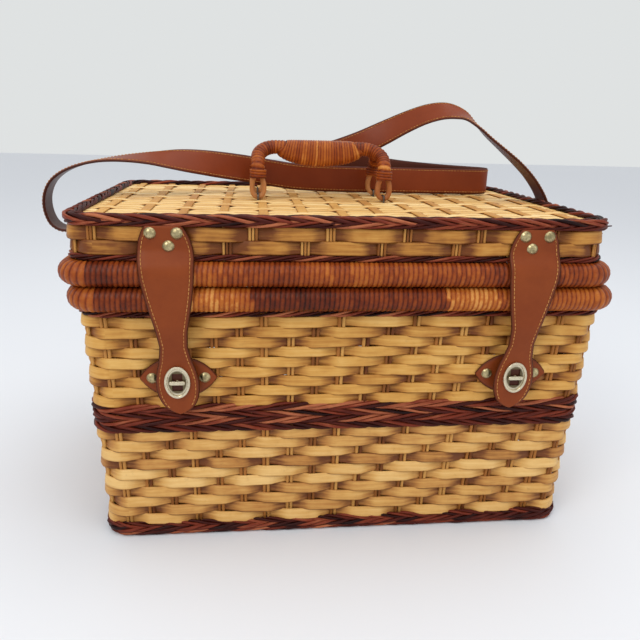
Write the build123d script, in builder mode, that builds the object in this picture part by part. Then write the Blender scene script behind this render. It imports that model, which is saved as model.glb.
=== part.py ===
from build123d import *
import math
import os

# Wicker picnic basket with a hinged lid, two leather closures with turn locks,
# a wrapped cane handle and a leather shoulder strap.
# Origin: centre of the basket's underside. +X right, +Y to the hinges, +Z up. Millimetres.

# Basket wall
bottom_width = 431
bottom_depth = 257
top_width = 446
top_depth = 281
wall_corner = 22
weave_thickness = 3.0
border_height = 13
border_proud = 1.5
border_thickness = 9
lower_weave_top = 107
middle_band_top = 133
band_proud = 1.5
upper_weave_top = 212
upper_band_top = 218.2

# Stakes that the strips are woven round, and the base with its ribs
stake_width = 6.5
stake_thickness = 3.2
stake_pitch = 21
base_panel_height = 4
base_panel_thickness = 4
base_rib_width = 7
base_rib_thickness = 3
base_rib_pitch = 34

# Round rims of basket and lid, each a cane hoop wound with reed
rim_side_reach = 7
rim_front_reach = 12
rim_corner = 26
rim_core_diameter = 13
rim_wrap_thickness = 3.6
rim_gap = 0.4

# Lid
lid_shift = -5
lid_side_inset = 8
lid_front_inset = 9
lid_corner = 22
lid_band_height = 5.4
lid_band_proud = 0.5
lid_weave_height = 23.2
lid_border_height = 7.8
lid_border_proud = 2.5
lid_border_thickness = 9.5
lid_panel_thickness = 4
lid_panel_drop = 3
lid_rib_width = 8
lid_rib_thickness = 3
lid_rib_pitch = 33.5

# Leather closures
leather = 2.5
flap_top_x = 150
flap_top_gap = 0.9
flap_top_width = 29
flap_widest = 44
flap_widest_drop = 24.9
flap_shoulder_width = 37
flap_shoulder_drop = 54.9
flap_waist = 22.5
flap_waist_rise = 31
lobe_width = 35
lobe_length = 29
flap_flare_rise = 0.9
flap_pivot_rise = 7
flap_rivet_spacing = 20.4
flap_rivet_drop = 5.2
lower_rivet_shift = 3.5
lower_rivet_drop = 15.4
rivet_head = 9.5
rivet_dome = 2.4
rivet_shank = 3.2

# Turn locks and the leather tabs that carry their catches
lock_x = 143.5
tab_lift = 8
tab_width = 63
tab_height = 38
tab_rivet_spacing = 43
plate_width = 21
plate_height = 28
plate_thickness = 1.0
plate_rim_width = 2.4
plate_rim_height = 2.4
plate_slot_width = 8.6
plate_slot_height = 15
knob_bar_length = 13
knob_bar_width = 3.5
knob_bar_thickness = 2.6
knob_shank = 4
knob_end_length = 9
knob_end_width = 3.8
knob_end_thickness = 1.2
catch_front = 1.0
catch_wall = 1.4

# Hinge straps
hinge_x = 130
hinge_width = 30
hinge_top_gap = 2.8
hinge_seat_drop = 23.4
hinge_tail = 37
hinge_rivet_spacing = 15
hinge_rivet_rise = 10
hinge_lid_rivet_drop = 9

# Handle
handle_x = -9
handle_y = 20
handle_leg_spacing = 124
handle_foot_depth = 56
handle_rise = 53.4
handle_bend_radius = 18
handle_splay_radius = 8
handle_foot_straight = 8
cane_diameter = 11
leg_wrap_thickness = 2
grip_length = 76
grip_belly = 26
grip_width = 31
collar_diameter = 18
collar_height = 8
eye_width = 17
eye_height = 24
eye_hole_width = 8
eye_hole_height = 13
eye_depth = 6
staple_wire = 2
staple_spread = 10

# Shoulder strap, and the rings and tabs that it hangs from
strap_width = 28
strap_thickness = 2.6
strap_y = 15
ring_wire = 3
ring_length = 37
ring_reach = 14.5
ring_drop = 14
strap_tab_width = 22
strap_tab_gap = 2.8
strap_tab_rivet_drop = 5
strap_tab_rivet_spacing = 11

# Clearances
snug = 0.1
fit = 0.2
clearance = 0.3
swing_clearance = 0.4

# Levels and places that follow from the sizes above
rim_width = top_width + 2 * rim_side_reach
rim_depth = top_depth + 2 * rim_front_reach
lid_wall_width = rim_width - 2 * lid_side_inset
lid_wall_depth = rim_depth - 2 * lid_front_inset
rim_diameter = rim_core_diameter + 2 * rim_wrap_thickness
rim_radius = rim_diameter / 2
body_rim_z = upper_band_top + snug + rim_radius
rim_plane = body_rim_z + rim_radius
lid_rim_z = rim_plane + rim_gap + rim_radius
lid_band_bottom = lid_rim_z + rim_radius + snug
lid_weave_bottom = lid_band_bottom + lid_band_height
lid_border_bottom = lid_weave_bottom + lid_weave_height
lid_top = lid_border_bottom + lid_border_height
lid_panel_top = lid_top - lid_panel_drop
lid_panel_bottom = lid_panel_top - lid_panel_thickness
handle_top_height = lid_top + handle_rise
lid_wall_y = lid_wall_depth / 2
rim_front = rim_depth / 2
lock_height = middle_band_top + tab_lift + tab_height / 2
lobe_tip_height = lock_height - lobe_length
flap_waist_height = lock_height + flap_waist_rise
flap_pivot_height = lid_rim_z + flap_pivot_rise
flap_flare_height = lid_weave_bottom + flap_flare_rise
flap_top_height = lid_border_bottom - flap_top_gap
flap_widest_height = flap_top_height - flap_widest_drop
flap_shoulder_height = flap_top_height - flap_shoulder_drop
flap_rivet_height = flap_top_height - flap_rivet_drop
lower_rivet_height = flap_top_height - lower_rivet_drop
hinge_top_height = lid_border_bottom - hinge_top_gap
hinge_lid_rivet_height = hinge_top_height - hinge_lid_rivet_drop
hinge_seat_height = body_rim_z - hinge_seat_drop
hinge_bottom_height = hinge_seat_height - hinge_tail
hinge_rivet_height = hinge_bottom_height + hinge_rivet_rise
strap_tab_top = lid_border_bottom - strap_tab_gap
strap_tab_rivet_height = strap_tab_top - strap_tab_rivet_drop
ring_height = strap_tab_top - ring_drop
hinge_axis_y = rim_front + clearance + leather
hinge_axis_z = rim_plane + rim_gap / 2

# All that swings up with the lid passes the basket's rim outside this radius from the hinge
swing_radius = (
    math.hypot(hinge_axis_y + rim_front - rim_radius, hinge_axis_z - body_rim_z)
    + rim_radius + swing_clearance
)
flap_inner_y = hinge_axis_y - swing_radius
knob_end_y = hinge_axis_y - math.sqrt(
    swing_radius ** 2 - (hinge_axis_z - lock_height - knob_end_length / 2) ** 2
)
catch_inner_y = knob_end_y - knob_end_thickness - fit
catch_front_y = catch_inner_y - catch_front
flap_hang_y = catch_front_y - clearance
hang_drop = math.sqrt(swing_radius ** 2 - (hinge_axis_y - flap_hang_y) ** 2)
flap_hang_height = hinge_axis_z - hang_drop
flap_bend_height = (
    flap_hang_height + (flap_hang_y - flap_inner_y) * (hinge_axis_y - flap_hang_y) / hang_drop
)

os.makedirs("parts", exist_ok=True)


def share(low, high, z):
    """Size of the tapered wall at height z, between its bottom and its top."""
    return low + (high - low) * z / upper_weave_top


def half_width(z):
    return share(bottom_width, top_width, z) / 2


def half_depth(z):
    return share(bottom_depth, top_depth, z) / 2


def lid_half_width(z):
    return lid_wall_width / 2


def lid_half_depth(z):
    return lid_wall_depth / 2


def wall_ring(low, high, proud, thickness):
    """Ring of the tapered wall between two heights."""
    for grow, mode in ((proud, Mode.ADD), (-thickness, Mode.SUBTRACT)):
        outlines = []
        for z in (low, high):
            with BuildSketch(Plane.XY.offset(z)) as outline:
                RectangleRounded(
                    2 * half_width(z) + 2 * grow, 2 * half_depth(z) + 2 * grow, wall_corner + grow
                )
            outlines.append(outline.sketch)
        loft(outlines, ruled=True, mode=mode)


def lid_ring(low, high, proud, thickness):
    """Ring of the upright lid wall between two heights."""
    for grow, mode in ((proud, Mode.ADD), (-thickness, Mode.SUBTRACT)):
        with BuildSketch(Plane.XY.offset(low)) as outline:
            with Locations((lid_shift, 0)):
                RectangleRounded(
                    lid_wall_width + 2 * grow, lid_wall_depth + 2 * grow, lid_corner + grow
                )
        extrude(outline.sketch, amount=high - low, mode=mode)


def rim_hoop(x, z, diameter, mode=Mode.ADD):
    """Round rod bent into the rounded rectangle of a rim."""
    reach_x = rim_width / 2 - rim_radius
    reach_y = rim_front - rim_radius
    with BuildLine() as hoop:
        FilletPolyline(
            (x - reach_x, -reach_y, z), (x + reach_x, -reach_y, z),
            (x + reach_x, reach_y, z), (x - reach_x, reach_y, z),
            radius=rim_corner - rim_radius, close=True,
        )
    path = hoop.wire()
    with BuildSketch(Plane(origin=path @ 0, z_dir=path % 0)) as section:
        Circle(diameter / 2)
    sweep(section.sketch, path=path, mode=mode)


def spread(span, pitch):
    """Centred places at a pitch that stay within a span."""
    count = int(span / pitch) + 1
    return [(index - (count - 1) / 2) * pitch for index in range(count)]


def wall_stakes(shift, low, high, across, along):
    """Stakes inside a wall whose half sizes at a height are given by across and along."""
    inset = weave_thickness + snug + stake_thickness / 2
    for x in spread(2 * across(low) - 2 * wall_corner - stake_width, stake_pitch):
        for side in (-1, 1):
            foot = (shift + x, side * (along(low) - inset), low)
            head = (shift + x, side * (along(high) - inset), high)
            stake(foot, head, (1, 0, 0), stake_width, stake_thickness)
    for y in spread(2 * along(low) - 2 * wall_corner - stake_width, stake_pitch):
        for side in (-1, 1):
            foot = (shift + side * (across(low) - inset), y, low)
            head = (shift + side * (across(high) - inset), y, high)
            stake(foot, head, (0, 1, 0), stake_width, stake_thickness)


def stake(foot, head, flat, width, thickness):
    """One straight stake between two points, its flat side along the wall."""
    run = Vector(head) - Vector(foot)
    with BuildSketch(Plane(origin=foot, x_dir=flat, z_dir=run)) as section:
        RectangleRounded(width, thickness, 0.45 * thickness)
    extrude(section.sketch, amount=run.length)


def slanted_plane(side, x, z, out):
    """Plane on the outer face of the slanted front (-1) or back (+1) wall, moved outwards."""
    normal = Vector(0, side * upper_weave_top, -(top_depth - bottom_depth) / 2).normalized()
    foot = Vector(x, side * half_depth(z), z)
    return Plane(origin=foot + normal * out, x_dir=(1, 0, 0), z_dir=normal)


def upright_plane(x, y, z):
    """Plane that faces the front, with its own y upwards."""
    return Plane(origin=(x, y, z), x_dir=(1, 0, 0), z_dir=(0, -1, 0))


def rivet(plane, grip):
    """Domed rivet whose head sits on the plane, with a shank of the length grip behind it."""
    with BuildSketch(Plane(origin=plane.origin, x_dir=plane.z_dir, z_dir=plane.y_dir)) as half:
        with BuildLine():
            Line((-grip, 0), (rivet_dome, 0))
            ThreePointArc(
                (rivet_dome, 0), (0.72 * rivet_dome, 0.3 * rivet_head), (0, rivet_head / 2)
            )
            Polyline((0, rivet_head / 2), (0, rivet_shank / 2), (-grip, rivet_shank / 2), (-grip, 0))
        make_face()
    revolve(half.sketch, axis=Axis(plane.origin, plane.z_dir))


def rivet_hole(plane, depth):
    """Hole for a rivet's shank, down from the plane."""
    with BuildSketch(plane) as hole:
        Circle(rivet_shank / 2 + snug)
    extrude(hole.sketch, amount=-depth, mode=Mode.SUBTRACT)


def bent_sheet(plane, points, side, width):
    """Sheet of leather that follows points in the plane, its thickness to one side of them."""
    with BuildSketch(plane) as profile:
        with BuildLine():
            Polyline(*points)
            offset(amount=leather, side=side, kind=Kind.INTERSECTION)
        make_face()
    extrude(profile.sketch, amount=width / 2, both=True)


# Rivet places
tab_rivets = [
    slanted_plane(-1, side * lock_x + end * tab_rivet_spacing / 2, lock_height, leather)
    for side in (-1, 1) for end in (-1, 1)
]
hinge_body_rivets = [
    slanted_plane(1, side * hinge_x + end * hinge_rivet_spacing / 2, hinge_rivet_height,
                  leather + snug)
    for side in (-1, 1) for end in (-1, 1)
]
flap_rivets = [
    upright_plane(side * flap_top_x + shift, -lid_wall_y - snug - leather, z)
    for side in (-1, 1)
    for shift, z in (
        (-flap_rivet_spacing / 2, flap_rivet_height),
        (flap_rivet_spacing / 2, flap_rivet_height),
        (-side * lower_rivet_shift, lower_rivet_height),
    )
]
hinge_lid_rivets = [
    Plane(origin=(side * hinge_x + end * hinge_rivet_spacing / 2, lid_wall_y + snug + leather,
                  hinge_lid_rivet_height), x_dir=(1, 0, 0), z_dir=(0, 1, 0))
    for side in (-1, 1) for end in (-1, 1)
]
strap_tab_rivets = [
    Plane(origin=(lid_shift + side * (lid_wall_width / 2 + snug + leather),
                  strap_y + end * strap_tab_rivet_spacing / 2, strap_tab_rivet_height),
          x_dir=(0, 1, 0), z_dir=(side, 0, 0))
    for side in (-1, 1) for end in (-1, 1)
]
rivet_grip = leather + snug + weave_thickness

# Basket body
with BuildPart() as bottom_border:
    wall_ring(0, border_height, border_proud, border_thickness)
bottom_border.part.label = "bottom_border"
export_step(bottom_border.part, "parts/bottom_border.step")

floor_width = 2 * half_width(0) - 2 * border_thickness
floor_depth = 2 * half_depth(0) - 2 * border_thickness
with BuildPart() as base_panel:
    with BuildSketch(Plane.XY.offset(base_panel_height)):
        RectangleRounded(
            floor_width - 2 * snug, floor_depth - 2 * snug, wall_corner - border_thickness
        )
    extrude(amount=base_panel_thickness)
base_panel.part.label = "base_panel"
export_step(base_panel.part, "parts/base_panel.step")

with BuildPart() as base_ribs:
    with BuildSketch(Plane.XY.offset(base_panel_height + base_panel_thickness)):
        for x in spread(floor_width - 2 * wall_corner, base_rib_pitch):
            with Locations((x, 0)):
                Rectangle(base_rib_width, floor_depth - 2 * clearance)
    extrude(amount=base_rib_thickness)
base_ribs.part.label = "base_ribs"
export_step(base_ribs.part, "parts/base_ribs.step")

with BuildPart() as lower_weave:
    wall_ring(border_height, lower_weave_top, 0, weave_thickness)
lower_weave.part.label = "lower_weave"
export_step(lower_weave.part, "parts/lower_weave.step")

with BuildPart() as middle_band:
    wall_ring(lower_weave_top, middle_band_top, band_proud, weave_thickness)
middle_band.part.label = "middle_band"
export_step(middle_band.part, "parts/middle_band.step")

with BuildPart() as upper_weave:
    wall_ring(middle_band_top, upper_weave_top, 0, weave_thickness)
    for plane in tab_rivets + hinge_body_rivets:
        rivet_hole(plane, 3 * rivet_grip)
upper_weave.part.label = "upper_weave"
export_step(upper_weave.part, "parts/upper_weave.step")

with BuildPart() as upper_band:
    wall_ring(upper_weave_top, upper_band_top, band_proud, weave_thickness)
upper_band.part.label = "upper_band"
export_step(upper_band.part, "parts/upper_band.step")

with BuildPart() as wall_stake_group:
    wall_stakes(0, border_height + clearance, upper_band_top - clearance, half_width, half_depth)
wall_stake_group.part.label = "wall_stakes"
export_step(wall_stake_group.part, "parts/wall_stakes.step")

with BuildPart() as body_rim_hoop:
    rim_hoop(0, body_rim_z, rim_core_diameter)
body_rim_hoop.part.label = "body_rim_hoop"
export_step(body_rim_hoop.part, "parts/body_rim_hoop.step")

with BuildPart() as body_rim_wrap:
    rim_hoop(0, body_rim_z, rim_diameter)
    rim_hoop(0, body_rim_z, rim_core_diameter, Mode.SUBTRACT)
body_rim_wrap.part.label = "body_rim_wrap"
export_step(body_rim_wrap.part, "parts/body_rim_wrap.step")

# Leather tabs on the front wall, the catches on them and their rivets
for side, name in ((-1, "left"), (1, "right")):
    with BuildPart() as catch_tab:
        with BuildSketch(slanted_plane(-1, side * lock_x, lock_height, 0)):
            with BuildLine():
                ThreePointArc((-tab_width / 2, 0), (0, tab_height / 2), (tab_width / 2, 0))
                ThreePointArc((tab_width / 2, 0), (0, -tab_height / 2), (-tab_width / 2, 0))
            make_face()
        extrude(amount=leather)
        for plane in tab_rivets:
            rivet_hole(plane, rivet_grip)
    catch_tab.part.label = f"{name}_catch_tab"
    export_step(catch_tab.part, f"parts/{name}_catch_tab.step")

    # The slot is long enough for the knob's end to climb out of it as the lid swings up
    climb = (knob_end_thickness + 2 * fit + catch_front) * swing_radius / hang_drop
    slot_low = -knob_end_length / 2 - 2 * clearance
    slot_high = knob_end_length / 2 + 1.2 * climb
    slot_middle = (slot_low + slot_high) / 2
    slot_length = slot_high - slot_low
    slot_width = knob_end_width + 2 * clearance
    pocket_width = knob_end_length + 4 * clearance
    with BuildPart() as catch:
        with BuildSketch(upright_plane(side * lock_x, catch_front_y, lock_height + slot_middle)):
            SlotOverall(slot_length + 2 * catch_wall, pocket_width + 2 * catch_wall, rotation=90)
        extrude(amount=-leather - tab_height / 4)
        with BuildSketch(upright_plane(side * lock_x, catch_inner_y, lock_height + slot_middle)):
            SlotOverall(slot_length, pocket_width, rotation=90)
        extrude(amount=-leather - tab_height / 4, mode=Mode.SUBTRACT)
        with BuildSketch(upright_plane(side * lock_x, catch_front_y, lock_height + slot_middle)):
            RectangleRounded(slot_width, slot_length - 2 * snug, slot_width / 2 - snug)
        extrude(amount=-catch_front, mode=Mode.SUBTRACT)
        split(bisect_by=slanted_plane(-1, side * lock_x, lock_height, leather), keep=Keep.TOP)
    catch.part.label = f"{name}_catch"
    export_step(catch.part, f"parts/{name}_catch.step")

with BuildPart() as catch_tab_rivets:
    for plane in tab_rivets:
        rivet(plane, leather + weave_thickness)
catch_tab_rivets.part.label = "catch_tab_rivets"
export_step(catch_tab_rivets.part, "parts/catch_tab_rivets.step")

# Lid
with BuildPart() as lid_rim_hoop:
    rim_hoop(lid_shift, lid_rim_z, rim_core_diameter)
lid_rim_hoop.part.label = "lid_rim_hoop"
export_step(lid_rim_hoop.part, "parts/lid_rim_hoop.step")

with BuildPart() as lid_rim_wrap:
    rim_hoop(lid_shift, lid_rim_z, rim_diameter)
    rim_hoop(lid_shift, lid_rim_z, rim_core_diameter, Mode.SUBTRACT)
lid_rim_wrap.part.label = "lid_rim_wrap"
export_step(lid_rim_wrap.part, "parts/lid_rim_wrap.step")

with BuildPart() as lid_band:
    lid_ring(lid_band_bottom, lid_weave_bottom, lid_band_proud, weave_thickness)
lid_band.part.label = "lid_band"
export_step(lid_band.part, "parts/lid_band.step")

with BuildPart() as lid_weave:
    lid_ring(lid_weave_bottom, lid_border_bottom, 0, weave_thickness)
    for plane in flap_rivets + hinge_lid_rivets + strap_tab_rivets:
        rivet_hole(plane, 3 * rivet_grip)
lid_weave.part.label = "lid_weave"
export_step(lid_weave.part, "parts/lid_weave.step")

with BuildPart() as lid_border:
    lid_ring(lid_border_bottom, lid_top, lid_border_proud, lid_border_thickness)
lid_border.part.label = "lid_border"
export_step(lid_border.part, "parts/lid_border.step")

with BuildPart() as lid_stake_group:
    wall_stakes(lid_shift, lid_band_bottom + clearance, lid_border_bottom - clearance,
                lid_half_width, lid_half_depth)
lid_stake_group.part.label = "lid_stakes"
export_step(lid_stake_group.part, "parts/lid_stakes.step")

# The handle's four feet stand on the lid's panel and are stapled through it
middle_x = lid_shift + handle_x
feet = [
    (middle_x + across * handle_leg_spacing / 2, handle_y + side * handle_foot_depth / 2)
    for across in (-1, 1) for side in (-1, 1)
]


def staple_holes():
    """Holes for the legs of the four staples."""
    with BuildSketch(Plane.XY.offset(lid_panel_top)) as holes:
        with Locations(*[(x, y + end * staple_spread / 2) for x, y in feet for end in (-1, 1)]):
            Circle(staple_wire / 2 + snug)
    extrude(holes.sketch, amount=-2 * lid_panel_thickness, mode=Mode.SUBTRACT)


with BuildPart() as lid_panel:
    with BuildSketch(Plane.XY.offset(lid_panel_bottom)):
        with Locations((lid_shift, 0)):
            RectangleRounded(
                lid_wall_width - 2 * lid_border_thickness - 2 * snug,
                lid_wall_depth - 2 * lid_border_thickness - 2 * snug,
                lid_corner - lid_border_thickness,
            )
    extrude(amount=lid_panel_thickness)
    staple_holes()
lid_panel.part.label = "lid_panel"
export_step(lid_panel.part, "parts/lid_panel.step")

with BuildPart() as lid_ribs:
    with BuildSketch(Plane.XY.offset(lid_panel_bottom - lid_rib_thickness)):
        for x in spread(lid_wall_width - 2 * lid_border_thickness - 2 * lid_corner, lid_rib_pitch):
            with Locations((lid_shift + x, 0)):
                Rectangle(lid_rib_width, lid_wall_depth - 2 * lid_border_thickness - 2 * clearance)
    extrude(amount=lid_rib_thickness)
    staple_holes()
lid_ribs.part.label = "lid_ribs"
export_step(lid_ribs.part, "parts/lid_ribs.step")


def flap_outline(side):
    """Outline of a whole closure seen from the front, leaning from its top to its lock."""
    lean = Vector(side * (flap_top_x - lock_x), 0, flap_top_height - lock_height).normalized()
    plane = Plane(origin=(side * lock_x, 0, lock_height), x_dir=(lean.Z, 0, -lean.X),
                  z_dir=(0, -1, 0))
    top = flap_top_height - lock_height
    widest = (flap_widest / 2, flap_widest_height - lock_height)
    tip = (0, lobe_tip_height - lock_height)
    with BuildSketch(plane) as outline:
        with BuildLine():
            Polyline((0, top), (flap_top_width / 2, top), widest)
            Spline(
                widest,
                (flap_shoulder_width / 2, flap_shoulder_height - lock_height),
                (flap_waist / 2, flap_waist_height - lock_height),
                (lobe_width / 2, 0),
                tip,
                tangents=((-0.1, -1), (-1, -0.5)),
            )
            mirror(about=Plane.YZ)
        make_face()
    return outline.sketch


# Closures: the upper part is riveted to the lid, the tail below swings on it
for side, name in ((-1, "left"), (1, "right")):
    outline = flap_outline(side)
    sheet_plane = Plane(origin=(side * flap_top_x, 0, 0), x_dir=(0, 1, 0), z_dir=(1, 0, 0))
    with BuildPart() as flap_anchor:
        bent_sheet(
            sheet_plane,
            [(-lid_wall_y - snug, flap_top_height + 1), (-lid_wall_y - snug, flap_flare_height),
             (flap_inner_y, flap_pivot_height + clearance + leather),
             (flap_inner_y, flap_pivot_height + clearance)],
            Side.RIGHT, 2 * flap_widest,
        )
        extrude(outline, amount=2 * rim_depth, both=True, mode=Mode.INTERSECT)
        for plane in flap_rivets:
            rivet_hole(plane, leather)
    flap_anchor.part.label = f"{name}_flap_anchor"
    export_step(flap_anchor.part, f"parts/{name}_flap_anchor.step")

    with BuildPart() as flap_tail:
        bent_sheet(
            sheet_plane,
            [(flap_inner_y, flap_pivot_height - clearance), (flap_inner_y, flap_bend_height),
             (flap_hang_y, flap_hang_height), (flap_hang_y, lobe_tip_height - 1)],
            Side.RIGHT, 2 * flap_widest,
        )
        extrude(outline, amount=2 * rim_depth, both=True, mode=Mode.INTERSECT)
        with BuildSketch(upright_plane(side * lock_x, flap_hang_y, lock_height)):
            Rectangle(plate_slot_width, plate_slot_height)
        extrude(amount=leather, mode=Mode.SUBTRACT)
    flap_tail.part.label = f"{name}_flap_tail"
    export_step(flap_tail.part, f"parts/{name}_flap_tail.step")

    # Oval eyelet plate with a raised rim round a dished middle
    face = upright_plane(side * lock_x, flap_hang_y - leather, lock_height)
    with BuildPart() as eyelet_plate:
        with BuildSketch(face):
            Ellipse(plate_width / 2, plate_height / 2)
        extrude(amount=plate_rim_height)
        with BuildSketch(face.offset(plate_thickness)):
            Ellipse(plate_width / 2 - plate_rim_width, plate_height / 2 - plate_rim_width)
        extrude(amount=plate_rim_height, mode=Mode.SUBTRACT)
        with BuildSketch(face):
            Rectangle(plate_slot_width, plate_slot_height)
        extrude(amount=plate_rim_height, mode=Mode.SUBTRACT)
        rim_edges = eyelet_plate.faces().sort_by(Axis.Y)[0].edges()
        fillet(rim_edges, radius=plate_rim_width / 3)
    eyelet_plate.part.label = f"{name}_eyelet_plate"
    export_step(eyelet_plate.part, f"parts/{name}_eyelet_plate.step")

    # Turn knob: a bar over the plate, and a shank with a cross piece that enters the catch
    bar_face = face.offset(plate_thickness + fit)
    with BuildPart() as turn_knob:
        with BuildSketch(bar_face):
            RectangleRounded(knob_bar_length, knob_bar_width, knob_bar_width / 2 - snug)
        extrude(amount=knob_bar_thickness)
        fillet(turn_knob.faces().sort_by(Axis.Y)[0].edges(), radius=knob_bar_width / 4)
    turn_knob.part.label = f"{name}_turn_knob"
    export_step(turn_knob.part, f"parts/{name}_turn_knob.step")

    end_face = upright_plane(side * lock_x, knob_end_y, lock_height)
    shank_length = knob_end_y - bar_face.origin.Y
    with BuildPart() as knob_shank_part:
        with BuildSketch(end_face):
            RectangleRounded(knob_end_width, knob_end_length, knob_end_width / 2 - snug)
        extrude(amount=knob_end_thickness)
        with BuildSketch(end_face):
            Circle(knob_shank / 2)
        extrude(amount=shank_length)
    knob_shank_part.part.label = f"{name}_knob_shank"
    export_step(knob_shank_part.part, f"parts/{name}_knob_shank.step")

with BuildPart() as flap_rivet_group:
    for plane in flap_rivets:
        rivet(plane, rivet_grip)
flap_rivet_group.part.label = "flap_rivets"
export_step(flap_rivet_group.part, "parts/flap_rivets.step")

# Hinge straps at the back: the two leaves of each strap meet at its fold
for side, name in ((-1, "left"), (1, "right")):
    sheet_plane = Plane(origin=(side * hinge_x, 0, 0), x_dir=(0, 1, 0), z_dir=(1, 0, 0))
    rim_face = rim_front + clearance
    with BuildPart() as hinge_lid_leaf:
        bent_sheet(
            sheet_plane,
            [(lid_wall_y + snug, hinge_top_height), (lid_wall_y + snug, flap_flare_height),
             (rim_face, flap_pivot_height), (rim_face, hinge_axis_z + clearance)],
            Side.LEFT, hinge_width,
        )
        for plane in hinge_lid_rivets:
            rivet_hole(plane, leather)
    hinge_lid_leaf.part.label = f"{name}_hinge_lid_leaf"
    export_step(hinge_lid_leaf.part, f"parts/{name}_hinge_lid_leaf.step")

    seat_y = half_depth(hinge_seat_height) + snug
    with BuildPart() as hinge_body_leaf:
        bent_sheet(
            sheet_plane,
            [(rim_face, hinge_axis_z - clearance), (rim_face, upper_band_top),
             (seat_y, hinge_seat_height),
             (half_depth(hinge_bottom_height) + snug, hinge_bottom_height)],
            Side.LEFT, hinge_width,
        )
        for plane in hinge_body_rivets:
            rivet_hole(plane, leather)
    hinge_body_leaf.part.label = f"{name}_hinge_body_leaf"
    export_step(hinge_body_leaf.part, f"parts/{name}_hinge_body_leaf.step")

with BuildPart() as hinge_lid_rivet_group:
    for plane in hinge_lid_rivets:
        rivet(plane, rivet_grip)
hinge_lid_rivet_group.part.label = "hinge_lid_rivets"
export_step(hinge_lid_rivet_group.part, "parts/hinge_lid_rivets.step")

with BuildPart() as hinge_body_rivet_group:
    for plane in hinge_body_rivets:
        rivet(plane, rivet_grip)
hinge_body_rivet_group.part.label = "hinge_body_rivets"
export_step(hinge_body_rivet_group.part, "parts/hinge_body_rivets.step")

# Handle: two canes side by side in the grip, each with a front or a back pair of legs
leg_diameter = cane_diameter + 2 * leg_wrap_thickness
grip_z = handle_top_height - leg_diameter / 2
foot_top = lid_panel_top + clearance + eye_height + clearance
leg_bend = foot_top + handle_foot_straight
eye_bar = (eye_height - eye_hole_height) / 3


def cane_path(side):
    """Middle line of one cane, front (-1) or back (+1), from foot to foot."""
    foot_y = handle_y + side * handle_foot_depth / 2
    grip_y = handle_y + side * (leg_diameter + fit) / 2
    left = middle_x - handle_leg_spacing / 2
    right = middle_x + handle_leg_spacing / 2
    return FilletPolyline(
        (left, foot_y, foot_top), (left, foot_y, leg_bend), (left, grip_y, grip_z),
        (right, grip_y, grip_z), (right, foot_y, leg_bend), (right, foot_y, foot_top),
        radius=[handle_splay_radius, handle_bend_radius, handle_bend_radius, handle_splay_radius],
    )


def swept_cane(side, diameter, mode=Mode.ADD):
    """Round rod along the path of one cane."""
    with BuildLine() as line:
        cane_path(side)
    path = line.wire()
    with BuildSketch(Plane(origin=path @ 0, z_dir=path % 0)) as section:
        Circle(diameter / 2)
    sweep(section.sketch, path=path, mode=mode)


for side, name in ((-1, "front"), (1, "back")):
    with BuildPart() as cane:
        swept_cane(side, cane_diameter)
    cane.part.label = f"handle_{name}_cane"
    export_step(cane.part, f"parts/handle_{name}_cane.step")

grip_box_height = 2 * (handle_top_height - foot_top)
with BuildPart() as leg_wraps:
    for side in (-1, 1):
        swept_cane(side, leg_diameter)
    with BuildSketch(Plane.YZ.offset(middle_x)):
        with Locations((handle_y, handle_top_height)):
            Rectangle(2 * grip_width, grip_box_height)
    extrude(amount=grip_length / 2 + snug, both=True, mode=Mode.SUBTRACT)
    with BuildSketch(Plane.XY.offset(foot_top)):
        with Locations((middle_x, handle_y)):
            Rectangle(2 * handle_leg_spacing, 2 * handle_foot_depth)
    extrude(amount=collar_height / 2, mode=Mode.SUBTRACT)
    for side in (-1, 1):
        swept_cane(side, cane_diameter, Mode.SUBTRACT)
leg_wraps.part.label = "handle_leg_wraps"
export_step(leg_wraps.part, "parts/handle_leg_wraps.step")

with BuildPart() as grip_wrap:
    for share_out, height in ((-1, leg_diameter), (0, grip_belly), (1, leg_diameter)):
        with BuildSketch(Plane.YZ.offset(middle_x + share_out * grip_length / 2)):
            with Locations((handle_y, handle_top_height - height / 2)):
                RectangleRounded(grip_width, height, 0.48 * leg_diameter)
    loft()
    for side in (-1, 1):
        swept_cane(side, cane_diameter, Mode.SUBTRACT)
grip_wrap.part.label = "handle_grip_wrap"
export_step(grip_wrap.part, "parts/handle_grip_wrap.step")

with BuildPart() as eyes:
    for x, y in feet:
        with BuildSketch(upright_plane(x, y, foot_top - clearance - eye_height / 2)):
            Ellipse(eye_width / 2, eye_height / 2)
            with Locations((0, -eye_bar / 2)):
                Ellipse(eye_hole_width / 2, eye_hole_height / 2, mode=Mode.SUBTRACT)
        extrude(amount=eye_depth / 2, both=True)
eyes.part.label = "handle_eyes"
export_step(eyes.part, "parts/handle_eyes.step")

with BuildPart() as collars:
    with BuildSketch(Plane.XY.offset(foot_top - collar_height / 2)):
        with Locations(*feet):
            Circle(collar_diameter / 2)
            Circle(cane_diameter / 2, mode=Mode.SUBTRACT)
    extrude(amount=collar_height)
    add(eyes.part, mode=Mode.SUBTRACT)
collars.part.label = "handle_collars"
export_step(collars.part, "parts/handle_collars.step")

# Wire staples that hold the bottom of each eye down on the lid's panel
staple_low = lid_panel_bottom - staple_wire
staple_high = lid_panel_top + 2 * clearance + eye_bar + staple_wire / 2
with BuildPart() as staples:
    for x, y in feet:
        with BuildLine() as wire:
            FilletPolyline(
                (x, y - staple_spread / 2, staple_low), (x, y - staple_spread / 2, staple_high),
                (x, y + staple_spread / 2, staple_high), (x, y + staple_spread / 2, staple_low),
                radius=1.2 * staple_wire,
            )
        path = wire.wire()
        with BuildSketch(Plane(origin=path @ 0, z_dir=path % 0)):
            Circle(staple_wire / 2)
        sweep(path=path)
staples.part.label = "handle_staples"
export_step(staples.part, "parts/handle_staples.step")

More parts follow.
